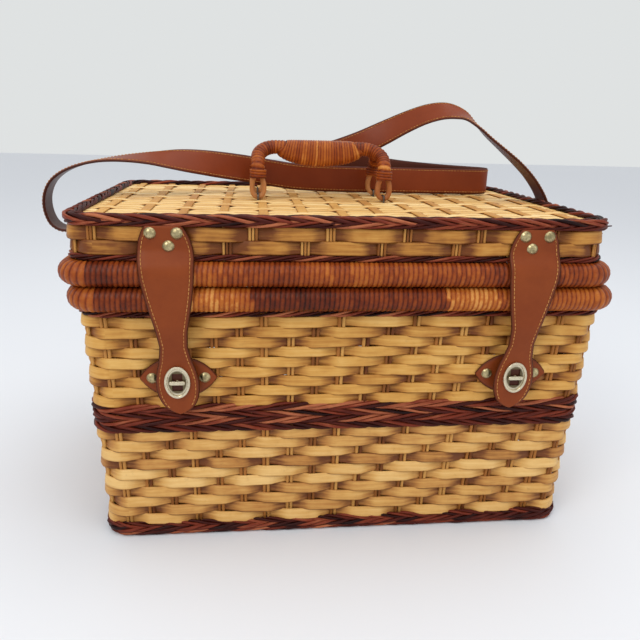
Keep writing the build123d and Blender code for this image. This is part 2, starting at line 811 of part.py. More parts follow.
# Shoulder strap: leather tabs on the sides of the lid hold a wire ring each, and the
# strap's ends are folded round the rings
fold_radius = ring_wire / 2 + clearance + strap_thickness
tab_fold_radius = ring_wire / 2 + clearance + leather
for side, name in ((-1, "left"), (1, "right")):
    wall_x = lid_shift + side * (lid_wall_width / 2 + snug)
    inner_bar_x = wall_x + side * tab_fold_radius
    outer_bar_x = inner_bar_x + side * ring_reach
    with BuildPart() as strap_tab:
        with BuildSketch(Plane.XZ.offset(-strap_y)):
            with Locations((inner_bar_x, ring_height)):
                Circle(tab_fold_radius)
                Circle(ring_wire / 2 + clearance, mode=Mode.SUBTRACT)
        extrude(amount=strap_tab_width / 2, both=True)
        with BuildSketch(Plane.XZ.offset(-strap_y)):
            with Locations((wall_x + side * leather / 2, (ring_height + strap_tab_top) / 2)):
                Rectangle(leather, strap_tab_top - ring_height)
        extrude(amount=strap_tab_width / 2, both=True)
        for plane in strap_tab_rivets:
            rivet_hole(plane, leather)
    strap_tab.part.label = f"{name}_strap_tab"
    export_step(strap_tab.part, f"parts/{name}_strap_tab.step")

    with BuildPart() as strap_ring:
        with BuildLine() as wire:
            FilletPolyline(
                (inner_bar_x, strap_y - ring_length / 2, ring_height),
                (outer_bar_x, strap_y - ring_length / 2, ring_height),
                (outer_bar_x, strap_y + ring_length / 2, ring_height),
                (inner_bar_x, strap_y + ring_length / 2, ring_height),
                radius=ring_wire, close=True,
            )
        path = wire.wire()
        with BuildSketch(Plane(origin=path @ 0, z_dir=path % 0)):
            Circle(ring_wire / 2)
        sweep(path=path)
    strap_ring.part.label = f"{name}_strap_ring"
    export_step(strap_ring.part, f"parts/{name}_strap_ring.step")

with BuildPart() as strap_tab_rivet_group:
    for plane in strap_tab_rivets:
        rivet(plane, rivet_grip)
strap_tab_rivet_group.part.label = "strap_tab_rivets"
export_step(strap_tab_rivet_group.part, "parts/strap_tab_rivets.step")

# Route of the strap's middle line: x, y, z and the turn of its width from flat to upright.
# It bows out from the left ring, crosses the lid on its edge behind the handle, folds back
# and forth, and arches down to the right ring.
strap_route = [
    (-258, 15, 259.5, 0), (-268, 15, 258.5, 0), (-277, 15, 264.5, 0), (-281.5, 15, 277, 0),
    (-281, 15, 291, 0), (-275, 15, 304, 0), (-264, 15, 313.5, 0), (-248, 15, 320.5, 0),
    (-228, 15, 325, 0), (-206, 16, 327.5, 8), (-183, 18, 328, 20), (-160, 24, 326.5, 38),
    (-136, 37, 324, 56), (-112, 50, 320.5, 72), (-86, 61, 316.5, 82), (-58, 65.5, 312, 88),
    (-28, 66.5, 308.5, 90), (20, 66.5, 307.3, 90), (75, 66.5, 307.3, 90), (130, 66.5, 307.3, 90),
    (165, 67, 307.3, 90), (177, 68.5, 307.5, 90), (183, 74.5, 308, 90), (177, 80.5, 308.5, 90),
    (164, 82, 309, 90), (125, 81.5, 311, 90), (80, 81, 314.5, 90), (40, 81.5, 320, 90),
    (14, 83, 325, 90), (3, 85, 327.5, 90), (-2, 91, 329.5, 90), (4, 97, 331.5, 90),
    (18, 98, 335.5, 90), (42, 95, 345, 82), (66, 87, 357.5, 70), (88, 76, 369.5, 56),
    (107, 64, 378, 44), (124, 53, 381, 34), (140, 43, 377, 24), (153, 35, 367, 15),
    (166, 29, 355, 9), (180, 23, 343, 4), (194, 18, 331, 0), (207.5, 16, 318, 0),
    (219, 15, 303.5, 0), (226.5, 15, 290.5, 0), (231, 15, 281, 0),
]


def strap_section(before, here, after):
    """Flat cross section of the strap at one place on its route."""
    along = (Vector(*after[:3]) - Vector(*before[:3])).normalized()
    turn = math.radians(here[3])
    across = Vector(0, math.cos(turn), math.sin(turn))
    across = (across - along * across.dot(along)).normalized()
    with BuildSketch(Plane(origin=here[:3], x_dir=across, z_dir=along)) as section:
        Rectangle(strap_width, strap_thickness)
    return section.sketch


left_bar = (lid_shift - lid_wall_width / 2 - snug - tab_fold_radius - ring_reach, strap_y)
right_bar = (lid_shift + lid_wall_width / 2 + snug + tab_fold_radius + ring_reach, strap_y)
first = (left_bar[0] - 0.6 * fold_radius, strap_y, ring_height - 0.6 * fold_radius, 0)
last = (right_bar[0] - 0.6 * fold_radius, strap_y, ring_height + 0.6 * fold_radius, 0)
route = [first] + strap_route + [last]
sections = [
    strap_section(route[max(index - 1, 0)], place, route[min(index + 1, len(route) - 1)])
    for index, place in enumerate(route)
]
# The strap is made in three stretches that meet in its two folds
right_fold = max(route[:len(route) // 2 + 1], key=lambda place: place[0])
left_fold = min(route[len(route) // 2 + 1:], key=lambda place: place[0])
folds = [0, route.index(right_fold) + 1, route.index(left_fold), len(sections) - 1]
with BuildPart() as shoulder_strap:
    for start, end in zip(folds, folds[1:]):
        loft(sections[start:end + 1], ruled=True)
    for x, y in (left_bar, right_bar):
        with BuildSketch(Plane.XZ.offset(-y)):
            with Locations((x, ring_height)):
                Circle(fold_radius)
        extrude(amount=strap_width / 2, both=True)
    for x, y in (left_bar, right_bar):
        with BuildSketch(Plane.XZ.offset(-y)):
            with Locations((x, ring_height)):
                Circle(ring_wire / 2 + clearance)
        extrude(amount=strap_width, both=True, mode=Mode.SUBTRACT)
shoulder_strap.part.label = "shoulder_strap"
export_step(shoulder_strap.part, "parts/shoulder_strap.step")
strap_length = sum(
    (Vector(*a[:3]) - Vector(*b[:3])).length for a, b in zip(route, route[1:])
)
print("strap length between its rings", round(strap_length))
print("strap volume over width x thickness x length",
      round(shoulder_strap.part.volume / (strap_width * strap_thickness * strap_length), 3))
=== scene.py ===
import bpy
import math
import numpy as np
from mathutils import Matrix, Vector


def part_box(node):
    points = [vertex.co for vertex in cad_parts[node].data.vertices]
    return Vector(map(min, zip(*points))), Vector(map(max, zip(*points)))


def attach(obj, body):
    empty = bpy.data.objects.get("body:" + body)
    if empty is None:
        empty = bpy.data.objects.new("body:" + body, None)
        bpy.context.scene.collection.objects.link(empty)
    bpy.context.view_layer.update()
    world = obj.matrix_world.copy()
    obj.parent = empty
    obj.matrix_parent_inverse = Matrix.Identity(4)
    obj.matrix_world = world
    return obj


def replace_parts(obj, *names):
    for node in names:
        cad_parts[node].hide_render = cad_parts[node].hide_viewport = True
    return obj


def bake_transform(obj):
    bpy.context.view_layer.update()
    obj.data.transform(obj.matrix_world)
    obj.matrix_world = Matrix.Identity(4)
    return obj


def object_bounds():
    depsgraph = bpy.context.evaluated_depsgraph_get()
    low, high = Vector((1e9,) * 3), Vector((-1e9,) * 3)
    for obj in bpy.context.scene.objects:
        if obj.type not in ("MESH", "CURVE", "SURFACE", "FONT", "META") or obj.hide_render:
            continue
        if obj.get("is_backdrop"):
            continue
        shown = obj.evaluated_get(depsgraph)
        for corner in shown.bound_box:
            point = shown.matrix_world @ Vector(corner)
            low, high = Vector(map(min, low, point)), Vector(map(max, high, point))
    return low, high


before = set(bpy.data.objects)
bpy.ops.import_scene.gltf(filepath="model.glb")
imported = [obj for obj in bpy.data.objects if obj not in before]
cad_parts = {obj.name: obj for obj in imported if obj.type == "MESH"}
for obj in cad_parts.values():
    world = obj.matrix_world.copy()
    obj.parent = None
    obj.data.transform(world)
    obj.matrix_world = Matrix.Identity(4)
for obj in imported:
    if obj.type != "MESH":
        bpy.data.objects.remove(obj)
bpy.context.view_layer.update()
rng = np.random.default_rng(11)
MM = 0.001
TURN = 2 * math.pi


# Sizes in millimetres and counts, most sizes read from the frame

def span(node):
    """Lowest and highest corner of a CAD node, in millimetres."""
    low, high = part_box(node)
    return np.array(low) / MM, np.array(high) / MM


lower_low, lower_high = span("lower_weave")
middle_low, middle_high = span("middle_band")
upper_low, upper_high = span("upper_weave")
band_low, band_high = span("upper_band")
border_low, border_high = span("bottom_border")
body_rim_low, body_rim_high = span("body_rim_wrap")
lid_rim_low, lid_rim_high = span("lid_rim_wrap")
lid_weave_low, lid_weave_high = span("lid_weave")
lid_band_low, lid_band_high = span("lid_band")
lid_border_low, lid_border_high = span("lid_border")
lid_panel_low, lid_panel_high = span("lid_panel")
base_low, base_high = span("base_panel")

wall_top_size = upper_high[:2] - upper_low[:2]
wall_top_z = upper_high[2]
wall_bottom_size = np.array([431.0, 257.0])
wall_corner = 22.0
lid_shift = (lid_rim_low[0] + lid_rim_high[0]) / 2
lid_size = lid_weave_high[:2] - lid_weave_low[:2]
rim_corner = 26.0
strip_thickness = 1.3
strip_stand = 2.2
stake_pitch = 21.0
steps_per_stake = 6
shingle_lean = 0.14
strands_in_band = 4
steps_per_turn = 12
path_step = 0.6
stitch_pitch = 3.4
stitch_length = 2.3
thread_radius = 0.32


# Mesh building

class Strands:
    """Collects swept strips, rods and sheets into one mesh object."""

    def __init__(self, name):
        self.name = name
        self.points = []
        self.loops = []
        self.totals = []
        self.uvs = []
        self.tones = []
        self.count = 0

    def sweep(self, centres, side, up, offsets, tone, closed=False, shift=0.0):
        """Section offsets (ring, place, 2) along side and up round each centre (ring, 3)."""
        centres = np.asarray(centres, float)
        rings = len(centres)
        offsets = np.asarray(offsets, float)
        if offsets.ndim == 2:
            offsets = np.broadcast_to(offsets, (rings,) + offsets.shape)
        places = offsets.shape[1]
        vertices = (centres[:, None, :] + offsets[:, :, 0:1] * side[:, None, :]
                    + offsets[:, :, 1:2] * up[:, None, :])
        self.points.append(vertices.reshape(-1, 3))
        tone = np.asarray(tone, float)
        if tone.ndim == 1:
            tone = tone[:, None]
        self.tones.append(np.broadcast_to(tone, (rings, places)).reshape(-1))
        steps = np.linalg.norm(np.diff(centres, axis=0), axis=1)
        along = np.concatenate([[0.0], np.cumsum(steps)]) + shift
        first = offsets[0]
        edge = np.linalg.norm(np.roll(first, -1, axis=0) - first, axis=1)
        around = np.concatenate([[0.0], np.cumsum(edge)])
        last = rings if closed else rings - 1
        ii, jj = np.meshgrid(np.arange(last), np.arange(places), indexing="ij")
        nxt = (ii + 1) % rings
        right = (jj + 1) % places
        quads = np.stack([ii * places + jj, ii * places + right, nxt * places + right,
                          nxt * places + jj], axis=-1).reshape(-1, 4) + self.count
        along_next = np.append(along, along[-1] + (np.linalg.norm(centres[0] - centres[-1])))
        uv = np.stack([
            np.stack([along[ii], around[jj]], -1), np.stack([along[ii], around[jj + 1]], -1),
            np.stack([along_next[ii + 1], around[jj + 1]], -1),
            np.stack([along_next[ii + 1], around[jj]], -1)], axis=2).reshape(-1, 2)
        self.loops.append(quads.reshape(-1))
        self.totals.append(np.full(len(quads), 4))
        self.uvs.append(uv * MM)
        if not closed:
            for ring, order in ((0, -1), (rings - 1, 1)):
                cap = (np.arange(places)[::order] + ring * places) + self.count
                self.loops.append(cap)
                self.totals.append(np.array([places]))
                self.uvs.append(np.tile([along[ring] * MM, 0.0], (places, 1)))
        self.count += rings * places

    def object(self, material, body):
        """Makes the object. It rides on a body; given a fold between two bodies, its transform is
        only baked into its mesh.
        """
        mesh = bpy.data.meshes.new(self.name)
        points = np.concatenate(self.points) * MM
        loops = np.concatenate(self.loops)
        totals = np.concatenate(self.totals)
        starts = np.concatenate([[0], np.cumsum(totals)[:-1]])
        mesh.vertices.add(len(points))
        mesh.vertices.foreach_set("co", points.reshape(-1))
        mesh.loops.add(len(loops))
        mesh.loops.foreach_set("vertex_index", loops.astype(np.int32))
        mesh.polygons.add(len(totals))
        mesh.polygons.foreach_set("loop_start", starts.astype(np.int32))
        mesh.polygons.foreach_set("loop_total", totals.astype(np.int32))
        layer = mesh.uv_layers.new(name="UVMap")
        layer.uv.foreach_set("vector", np.concatenate(self.uvs).reshape(-1))
        tone = mesh.attributes.new("tone", "FLOAT", "POINT")
        tone.data.foreach_set("value", np.concatenate(self.tones))
        mesh.update(calc_edges=True)
        mesh.validate()
        mesh.polygons.foreach_set("use_smooth", np.full(len(mesh.polygons), True))
        mesh.materials.append(material)
        piece = bpy.data.objects.new(self.name, mesh)
        bpy.context.collection.objects.link(piece)
        if isinstance(body, str):
            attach(piece, body)
        else:
            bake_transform(piece)
        return piece


def unit(v):
    return v / np.maximum(np.linalg.norm(v, axis=-1, keepdims=True), 1e-9)


def tangents(points, closed):
    if closed:
        return unit(np.roll(points, -1, axis=0) - np.roll(points, 1, axis=0))
    return unit(np.gradient(points, axis=0))


def frames(points, closed, lean):
    """Side and up directions across a line, with side as near to lean as it can be."""
    along = tangents(points, closed)
    lean = np.broadcast_to(np.asarray(lean, float), points.shape)
    side = unit(lean - along * np.sum(lean * along, axis=1, keepdims=True))
    return side, np.cross(along, side)


def ring_section(radius, sides):
    angle = np.arange(sides) * TURN / sides
    return np.stack([radius * np.cos(angle), radius * np.sin(angle)], axis=1)


def strip_section(width, thickness, crown=0.25):
    """Flat reed, width along side and thickness along up, with soft edges and a crown."""
    w, t = width / 2, thickness / 2
    return np.array([(-w, -0.5 * t), (-0.86 * w, -t), (0.86 * w, -t), (w, -0.5 * t), (w, 0.5 * t),
                     (0.8 * w, t + 0.6 * crown), (0, t + crown), (-0.8 * w, t + 0.6 * crown),
                     (-w, 0.5 * t)])


def smooth_line(points, steps):
    """Catmull-Rom line through points, with a number of steps in each span."""
    p = np.asarray(points, float)
    p = np.concatenate([[2 * p[0] - p[1]], p, [2 * p[-1] - p[-2]]])
    line = []
    for k in range(1, len(p) - 2):
        for t in np.arange(steps) / steps:
            line.append(0.5 * (2 * p[k] + (p[k + 1] - p[k - 1]) * t
                               + (2 * p[k - 1] - 5 * p[k] + 4 * p[k + 1] - p[k + 2]) * t * t
                               + (3 * p[k] - p[k - 1] - 3 * p[k + 1] + p[k + 2]) * t ** 3))
    line.append(p[-2])
    return np.array(line)


class Outline:
    """Rounded rectangle that may widen with height. Places on it are lengths from its front left."""

    def __init__(self, bottom_size, top_size, top_z, corner, shift=0.0):
        self.bottom = np.asarray(bottom_size, float) / 2
        self.top = np.asarray(top_size, float) / 2
        self.top_z = top_z
        self.corner = corner
        self.shift = shift
        straight = 2 * (self.top - corner)
        arc = math.pi / 2 * corner
        self.runs = np.array([straight[0], arc, straight[1], arc] * 2)
        self.starts = np.concatenate([[0], np.cumsum(self.runs)])
        self.length = self.starts[-1]

    def at(self, s, z, out):
        """Points and outward normals at places s and heights z, moved outwards by out."""
        s = np.asarray(s, float) % self.length
        z = np.broadcast_to(np.asarray(z, float), s.shape)
        out = np.broadcast_to(np.asarray(out, float), s.shape)
        half = self.bottom + (self.top - self.bottom) * (z / self.top_z)[..., None]
        flat = half - self.corner
        run = np.clip(np.searchsorted(self.starts, s, side="right") - 1, 0, 7)
        part = (s - self.starts[run]) / self.runs[run]
        quarter = run // 2
        turned = run % 2 == 1
        angle = (quarter - 1) * math.pi / 2 + np.where(turned, part * math.pi / 2, 0.0)
        normal = np.stack([np.cos(angle), np.sin(angle), np.zeros_like(angle)], -1)
        end = np.array([(1, -1), (1, 1), (-1, 1), (-1, -1)])[quarter] * flat
        step = np.array([(1, 0), (0, 1), (-1, 0), (0, -1)])[quarter]
        straight = np.where(step == 0, end, step * (2 * part - 1)[..., None] * flat)
        middle = np.where(turned[..., None], end, straight) + (self.shift, 0)
        level = np.concatenate([middle, z[..., None]], -1)
        return level + normal * (self.corner + out)[..., None], normal


# Materials

def nodes_of(name, roughness, coat=0.0, metallic=0.0, specular=0.5):
    """New material with its shader's plain sockets set."""
    material = bpy.data.materials.new(name)
    material.use_nodes = True
    tree = material.node_tree
    shader = tree.nodes["Principled BSDF"]
    shader.inputs["Roughness"].default_value = roughness
    shader.inputs["Metallic"].default_value = metallic
    shader.inputs["Coat Weight"].default_value = coat
    shader.inputs["Coat Roughness"].default_value = 0.3
    shader.inputs["Specular IOR Level"].default_value = specular
    return material, tree, shader


def add_node(tree, kind, **settings):
    node = tree.nodes.new(kind)
    for key, value in settings.items():
        if key in node.inputs:
            node.inputs[key].default_value = value
        else:
            setattr(node, key, value)
    return node


def ramp_node(tree, stops):
    node = tree.nodes.new("ShaderNodeValToRGB")
    ramp = node.color_ramp
    while len(ramp.elements) < len(stops):
        ramp.elements.new(0.5)
    for element, (place, colour) in zip(ramp.elements, stops):
        element.position = place
        element.color = (*colour, 1)
    return node


def mixed(tree, amount, a, b):
    """Colour mix of two sockets or colours, by the amount in a socket."""
    node = tree.nodes.new("ShaderNodeMix")
    node.data_type = "RGBA"
    for index, value in ((0, amount), (6, a), (7, b)):
        if isinstance(value, bpy.types.NodeSocket):
            tree.links.new(value, node.inputs[index])
        else:
            node.inputs[index].default_value = (*value, 1)
    return node.outputs[2]


def maths(tree, kind, a, b, clamp=False):
    node = tree.nodes.new("ShaderNodeMath")
    node.operation = kind
    node.use_clamp = clamp
    for index, value in ((0, a), (1, b)):
        if isinstance(value, bpy.types.NodeSocket):
            tree.links.new(value, node.inputs[index])
        else:
            node.inputs[index].default_value = value
    return node.outputs[0]


def noise(tree, vector, scale, detail, rough=0.6):
    node = add_node(tree, "ShaderNodeTexNoise", Scale=scale, Detail=detail, Roughness=rough)
    tree.links.new(vector, node.inputs["Vector"])
    return node.outputs["Fac"]


def stretched(tree, along, across):
    """UV coordinates scaled apart, so that noise runs in fibres along a strip."""
    source = tree.nodes.new("ShaderNodeUVMap")
    source.uv_map = "UVMap"
    mapping = tree.nodes.new("ShaderNodeMapping")
    mapping.inputs["Scale"].default_value = (along, across, 1)
    tree.links.new(source.outputs["UV"], mapping.inputs["Vector"])
    return mapping.outputs["Vector"]


def object_place(tree, scale=(1, 1, 1)):
    source = tree.nodes.new("ShaderNodeTexCoord")
    mapping = tree.nodes.new("ShaderNodeMapping")
    mapping.inputs["Scale"].default_value = scale
    tree.links.new(source.outputs["Object"], mapping.inputs["Vector"])
    return mapping.outputs["Vector"]


def bump(tree, shader, height, strength, distance):
    node = add_node(tree, "ShaderNodeBump", Strength=strength, Distance=distance)
    tree.links.new(height, node.inputs["Height"])
    tree.links.new(node.outputs["Normal"], shader.inputs["Normal"])


def fibre_material(name, stops, roughness, grain=0.35, stain=(0.2, 0.08, 0.03), coat=0.0,
                   grain_scale=(60, 1400), specular=0.2):
    """Reed or willow: a tone for each strand, fine fibres along it and darker stains. Tone also
    carries painted shade at strip edges, behind stakes and in grooves.
    """
    material, tree, shader = nodes_of(name, roughness, coat, specular=specular)
    tone = add_node(tree, "ShaderNodeAttribute", attribute_name="tone").outputs["Fac"]
    place = object_place(tree)
    fine = noise(tree, stretched(tree, *grain_scale), 1.0, 3.0)
    blotch = noise(tree, place, 45.0, 3.0)
    mix = maths(tree, "ADD", tone, maths(tree, "MULTIPLY", maths(tree, "SUBTRACT", fine, 0.5), grain))
    mix = maths(tree, "ADD", mix, maths(tree, "MULTIPLY", maths(tree, "SUBTRACT", blotch, 0.5), 0.5),
                clamp=True)
    ramp = ramp_node(tree, stops)
    tree.links.new(mix, ramp.inputs["Fac"])
    spots = ramp_node(tree, [(0.60, (0, 0, 0)), (0.72, (1, 1, 1))])
    tree.links.new(noise(tree, place, 130.0, 6.0, 0.7), spots.inputs["Fac"])
    colour = mixed(tree, maths(tree, "MULTIPLY", spots.outputs["Color"], 0.25),
                   ramp.outputs["Color"], stain)
    tree.links.new(colour, shader.inputs["Base Color"])
    bump(tree, shader, fine, 0.35, 0.0004)
    rough = maths(tree, "ADD", roughness - 0.1, maths(tree, "MULTIPLY", blotch, 0.25))
    tree.links.new(rough, shader.inputs["Roughness"])
    return material


def leather_material(name, face, dark, back, roughness=0.42):
    """Smooth leather: fine grain, soft blotches, and darker burnished edges where tone is high; high
    tone also paints shade into a slot.
    """
    material, tree, shader = nodes_of(name, roughness, 0.04, specular=0.16)
    place = object_place(tree)
    edge = add_node(tree, "ShaderNodeAttribute", attribute_name="tone").outputs["Fac"]
    blotch = noise(tree, place, 28.0, 4.0)
    streak = noise(tree, place, 160.0, 5.0, 0.7)
    amount = maths(tree, "MULTIPLY", maths(tree, "ADD", maths(tree, "MULTIPLY", blotch, 0.9),
                                            maths(tree, "MULTIPLY", streak, 0.35)), 0.8, clamp=True)
    base = mixed(tree, amount, face, dark)
    # Back colour mixed in by tone: burnished edges, and painted shade in slots
    wear_and_slot_shade = maths(tree, "MULTIPLY", edge, 0.9, clamp=True)
    colour = mixed(tree, wear_and_slot_shade, base, back)
    tree.links.new(colour, shader.inputs["Base Color"])
    cells = add_node(tree, "ShaderNodeTexVoronoi", Scale=900.0)
    tree.links.new(place, cells.inputs["Vector"])
    height = maths(tree, "ADD", maths(tree, "MULTIPLY", cells.outputs["Distance"], 0.5), streak)
    bump(tree, shader, height, 0.22, 0.0003)
    rough = maths(tree, "ADD", roughness - 0.12, maths(tree, "MULTIPLY", blotch, 0.3))
    tree.links.new(rough, shader.inputs["Roughness"])
    return material


def metal_material(name, colour, tarnish, roughness=0.3, clouds=0.7, plate=None):
    """Metal with clouds of tarnish. A plate node has a dark field inside its rim."""
    material, tree, shader = nodes_of(name, roughness, metallic=1.0)
    place = object_place(tree)
    cloud = ramp_node(tree, [(0.45, (0, 0, 0)), (0.62, (1, 1, 1))])
    tree.links.new(noise(tree, place, 260.0, 5.0, 0.7), cloud.inputs["Fac"])
    base = mixed(tree, maths(tree, "MULTIPLY", cloud.outputs["Color"], clouds), colour, tarnish)
    if plate:
        places = np.array([v.co for v in plate.data.vertices])
        low, high = places.min(axis=0), places.max(axis=0)
        share = 2 / (high - low) * (1, 0, 1)
        field = object_place(tree, share)
        field.node.inputs["Location"].default_value = -share * (low + high) / 2
        reach = add_node(tree, "ShaderNodeVectorMath", operation="LENGTH")
        tree.links.new(field, reach.inputs[0])
        inside = ramp_node(tree, [(0.66, (1, 1, 1)), (0.76, (0, 0, 0))])
        tree.links.new(reach.outputs["Value"], inside.inputs["Fac"])
        base = mixed(tree, inside.outputs["Color"], base, (0.13, 0.10, 0.055))
    tree.links.new(base, shader.inputs["Base Color"])
    rough = maths(tree, "ADD", roughness, maths(tree, "MULTIPLY", cloud.outputs["Color"], 0.2))
    tree.links.new(rough, shader.inputs["Roughness"])
    bump(tree, shader, noise(tree, place, 500.0, 3.0), 0.15, 0.0002)
    return material


honey = fibre_material("honey_reed", [(0.0, (0.16, 0.042, 0.006)), (0.3, (0.44, 0.185, 0.032)),
                                      (0.6, (0.62, 0.32, 0.072)), (1.0, (0.78, 0.48, 0.15))],
                       0.5, 0.7, coat=0.1, grain_scale=(30, 420))
tan = fibre_material("tan_reed", [(0.0, (0.16, 0.046, 0.010)), (0.3, (0.45, 0.195, 0.045)),
                                  (0.6, (0.64, 0.345, 0.095)), (1.0, (0.80, 0.51, 0.19))],
                     0.5, 0.7, coat=0.1, grain_scale=(30, 420))
pale = fibre_material("pale_reed", [(0.0, (0.30, 0.11, 0.022)), (0.3, (0.60, 0.31, 0.085)),
                                    (0.6, (0.79, 0.49, 0.17)), (1.0, (0.90, 0.66, 0.31))],
                      0.5, 0.6, coat=0.1, grain_scale=(30, 420))
stake_tan = fibre_material("stake_reed", [(0.0, (0.10, 0.022, 0.004)), (0.5, (0.38, 0.14, 0.027)),
                                          (1.0, (0.64, 0.34, 0.09))], 0.55,
                           grain_scale=(60, 900))
willow = fibre_material("dark_willow", [(0.0, (0.010, 0.001, 0.001)), (0.45, (0.065, 0.008, 0.004)),
                                        (0.75, (0.19, 0.030, 0.012)), (1.0, (0.42, 0.13, 0.055))],
                        0.45, 0.6, stain=(0.008, 0.002, 0.002), coat=0.05, grain_scale=(50, 700),
                        specular=0.12)
wrap = fibre_material("wrap_reed", [(0.0, (0.015, 0.002, 0.001)), (0.35, (0.13, 0.018, 0.003)),
                                    (0.6, (0.27, 0.052, 0.007)), (0.85, (0.43, 0.12, 0.016)),
                                    (1.0, (0.62, 0.26, 0.06))],
                      0.42, 0.3, stain=(0.06, 0.010, 0.003), coat=0.06, grain_scale=(300, 300),
                      specular=0.15)
cane = fibre_material("split_cane", [(0.0, (0.10, 0.020, 0.006)), (0.5, (0.33, 0.10, 0.027)),
                                     (1.0, (0.56, 0.26, 0.09))], 0.45, coat=0.1)
leather = leather_material("flap_leather", (0.275, 0.058, 0.010), (0.15, 0.023, 0.004),
                           (0.040, 0.010, 0.006))
strap_leather = leather_material("strap_leather", (0.26, 0.048, 0.011), (0.15, 0.023, 0.005),
                                 (0.035, 0.013, 0.010), 0.38)
thread = fibre_material("thread", [(0.0, (0.36, 0.13, 0.03)), (1.0, (0.64, 0.31, 0.09))], 0.7,
                        grain_scale=(2000, 2000))
brass = metal_material("aged_brass", (0.50, 0.41, 0.22), (0.17, 0.14, 0.07))
plate_metal = ((0.66, 0.58, 0.42), (0.34, 0.29, 0.20), 0.24, 0.3)
bright = metal_material("bright_plate", *plate_metal)
wire = metal_material("wire", (0.16, 0.13, 0.11), (0.06, 0.045, 0.035), 0.45)


# Woven walls

body_wall = Outline(wall_bottom_size, wall_top_size, wall_top_z, wall_corner)
lid_wall = Outline(lid_size, lid_size, lid_weave_high[2], wall_corner, lid_shift)
wall_depth = -3.0
# Tone of a strip at each place of its section: painted shadow, darker at its edges, most of all the
# lower one, where the rows meet
painted_shadow_edge_tones = np.array([-0.55, -0.3, -0.3, -0.25, -0.25, 0.0, 0.0, 0.0, -0.55])


def woven_wall(name, outline, low, high, rows, material, body, tones=(0.25, 0.85)):
    """Rows of flat reed that pass outside two stakes and inside the third, one stake on a row."""
    count = 3 * round(outline.length / stake_pitch / 3)
    pitch = outline.length / count
    weave = Strands(name)
    height = (high - low) / rows
    stake = np.arange(count * steps_per_stake) / steps_per_stake
    s = stake * pitch
    for row in range(rows):
        z = high - (row + 0.5) * height
        inside = np.cos((stake + row) * TURN / 3)
        out = np.clip(0.55 - 1.55 * inside, -1, 1) * strip_stand
        wander = np.interp(np.arange(len(s)), np.linspace(0, len(s), 60),
                           np.concatenate([[0.0], rng.normal(0, 0.4, 58), [0.0]]))
        flat, normal = outline.at(s + rng.uniform(-1.5, 1.5), z + wander, wall_depth + out)
        wide = height * rng.uniform(1.03, 1.12)
        # Each strip leans out at its lower edge, so that it laps over the next
        up = unit(normal * -shingle_lean + np.array([0.0, 0.0, 1.0]))
        normal = unit(normal + np.array([0.0, 0.0, shingle_lean]))
        patch = np.interp(np.arange(len(s)), np.linspace(0, len(s), 24),
                          rng.uniform(-0.14, 0.14, 24))
        # Darker where the strip passes inside, behind the stakes: painted shade
        tone = np.clip(rng.uniform(*tones) + patch + 0.24 * (out / strip_stand) - 0.2, 0, 1)
        # Painted shadow along the strip's edges
        tone = np.clip(tone[:, None] + painted_shadow_edge_tones, 0, 1)
        weave.sweep(flat, up, normal, strip_section(wide, strip_thickness), closed=True, tone=tone,
                    shift=rng.uniform(0, 500))
    return weave.object(material, body)


def stake_rods(name, outline, low, high, depth, body, radius, rods=2):
    """Upright rods side by side at each stake."""
    count = 3 * round(outline.length / stake_pitch / 3)
    pitch = outline.length / count
    spacing = 2.3 * radius
    group = Strands(name)
    z = np.linspace(low, high, 6)
    for index in range(count):
        lean = rng.normal(0, 0.5)
        for rod in range(rods):
            s = index * pitch + (rod - (rods - 1) / 2) * spacing
            points, normal = outline.at(np.full(6, s) + np.linspace(0, lean, 6), z, depth)
            side, up = frames(points, False, normal)
            group.sweep(points, side, up, ring_section(radius * rng.uniform(0.9, 1.08), 7),
                        tone=rng.uniform(0.05, 0.9), shift=rng.uniform(0, 300))
    return group.object(stake_tan, body)


def twisted_band(group, outline, z, depth, turn, radius, reach, hand=1, rise=None):
    """Strands that twist round each other along the wall, once in each turn's length."""
    turns = round(outline.length / turn)
    steps = turns * steps_per_turn
    s = np.arange(steps) / steps * outline.length
    rise = rise or reach
    for strand in range(strands_in_band):
        angle = hand * (s / outline.length * turns * TURN) + strand * TURN / strands_in_band
        wild = 1 + 0.2 * np.interp(s, np.linspace(0, outline.length, 50),
                                    np.append(rng.normal(0, 1, 49), 0))
        points, normal = outline.at(s, z + rise * np.sin(angle), depth + reach * np.cos(angle) * wild)
        side, up = frames(points, True, normal)
        group.sweep(points, side, up, ring_section(radius * rng.uniform(0.8, 1.2), 7), closed=True,
                    tone=np.clip(rng.uniform(0.15, 0.85) + 0.2 * np.sin(s / 90 + 2 * strand), 0, 1),
                    shift=rng.uniform(0, 400))


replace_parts(woven_wall("lower_weave_strips", body_wall, lower_low[2] - 1, lower_high[2] + 1, 10,
                       tan, "basket"), "lower_weave")
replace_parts(woven_wall("upper_weave_strips", body_wall, upper_low[2] - 1, upper_high[2], 9,
                       honey, "basket"), "upper_weave")
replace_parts(stake_rods("wall_stake_rods", body_wall, border_high[2] - 6, band_high[2],
                       wall_depth - 0.2, "basket", radius=1.55), "wall_stakes")
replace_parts(woven_wall("lid_weave_strips", lid_wall, lid_weave_low[2], lid_weave_high[2] - 1.6, 2,
                       honey, "lid", tones=(0.1, 0.4)), "lid_weave")
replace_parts(stake_rods("lid_stake_rods", lid_wall, lid_band_low[2], lid_border_low[2] + 2,
                       wall_depth, "lid", radius=1.15, rods=3), "lid_stakes")

dark = Strands("bottom_border_willow")
twisted_band(dark, body_wall, border_low[2] + 2.8, -1.6, 62, 1.4, 2.0, 1, 1.3)
twisted_band(dark, body_wall, border_low[2] + 6.8, -1.2, 56, 1.4, 2.2)
twisted_band(dark, body_wall, border_low[2] + 10.8, -1.8, 60, 1.4, 2.0, -1)
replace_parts(dark.object(willow, "basket"), "bottom_border")

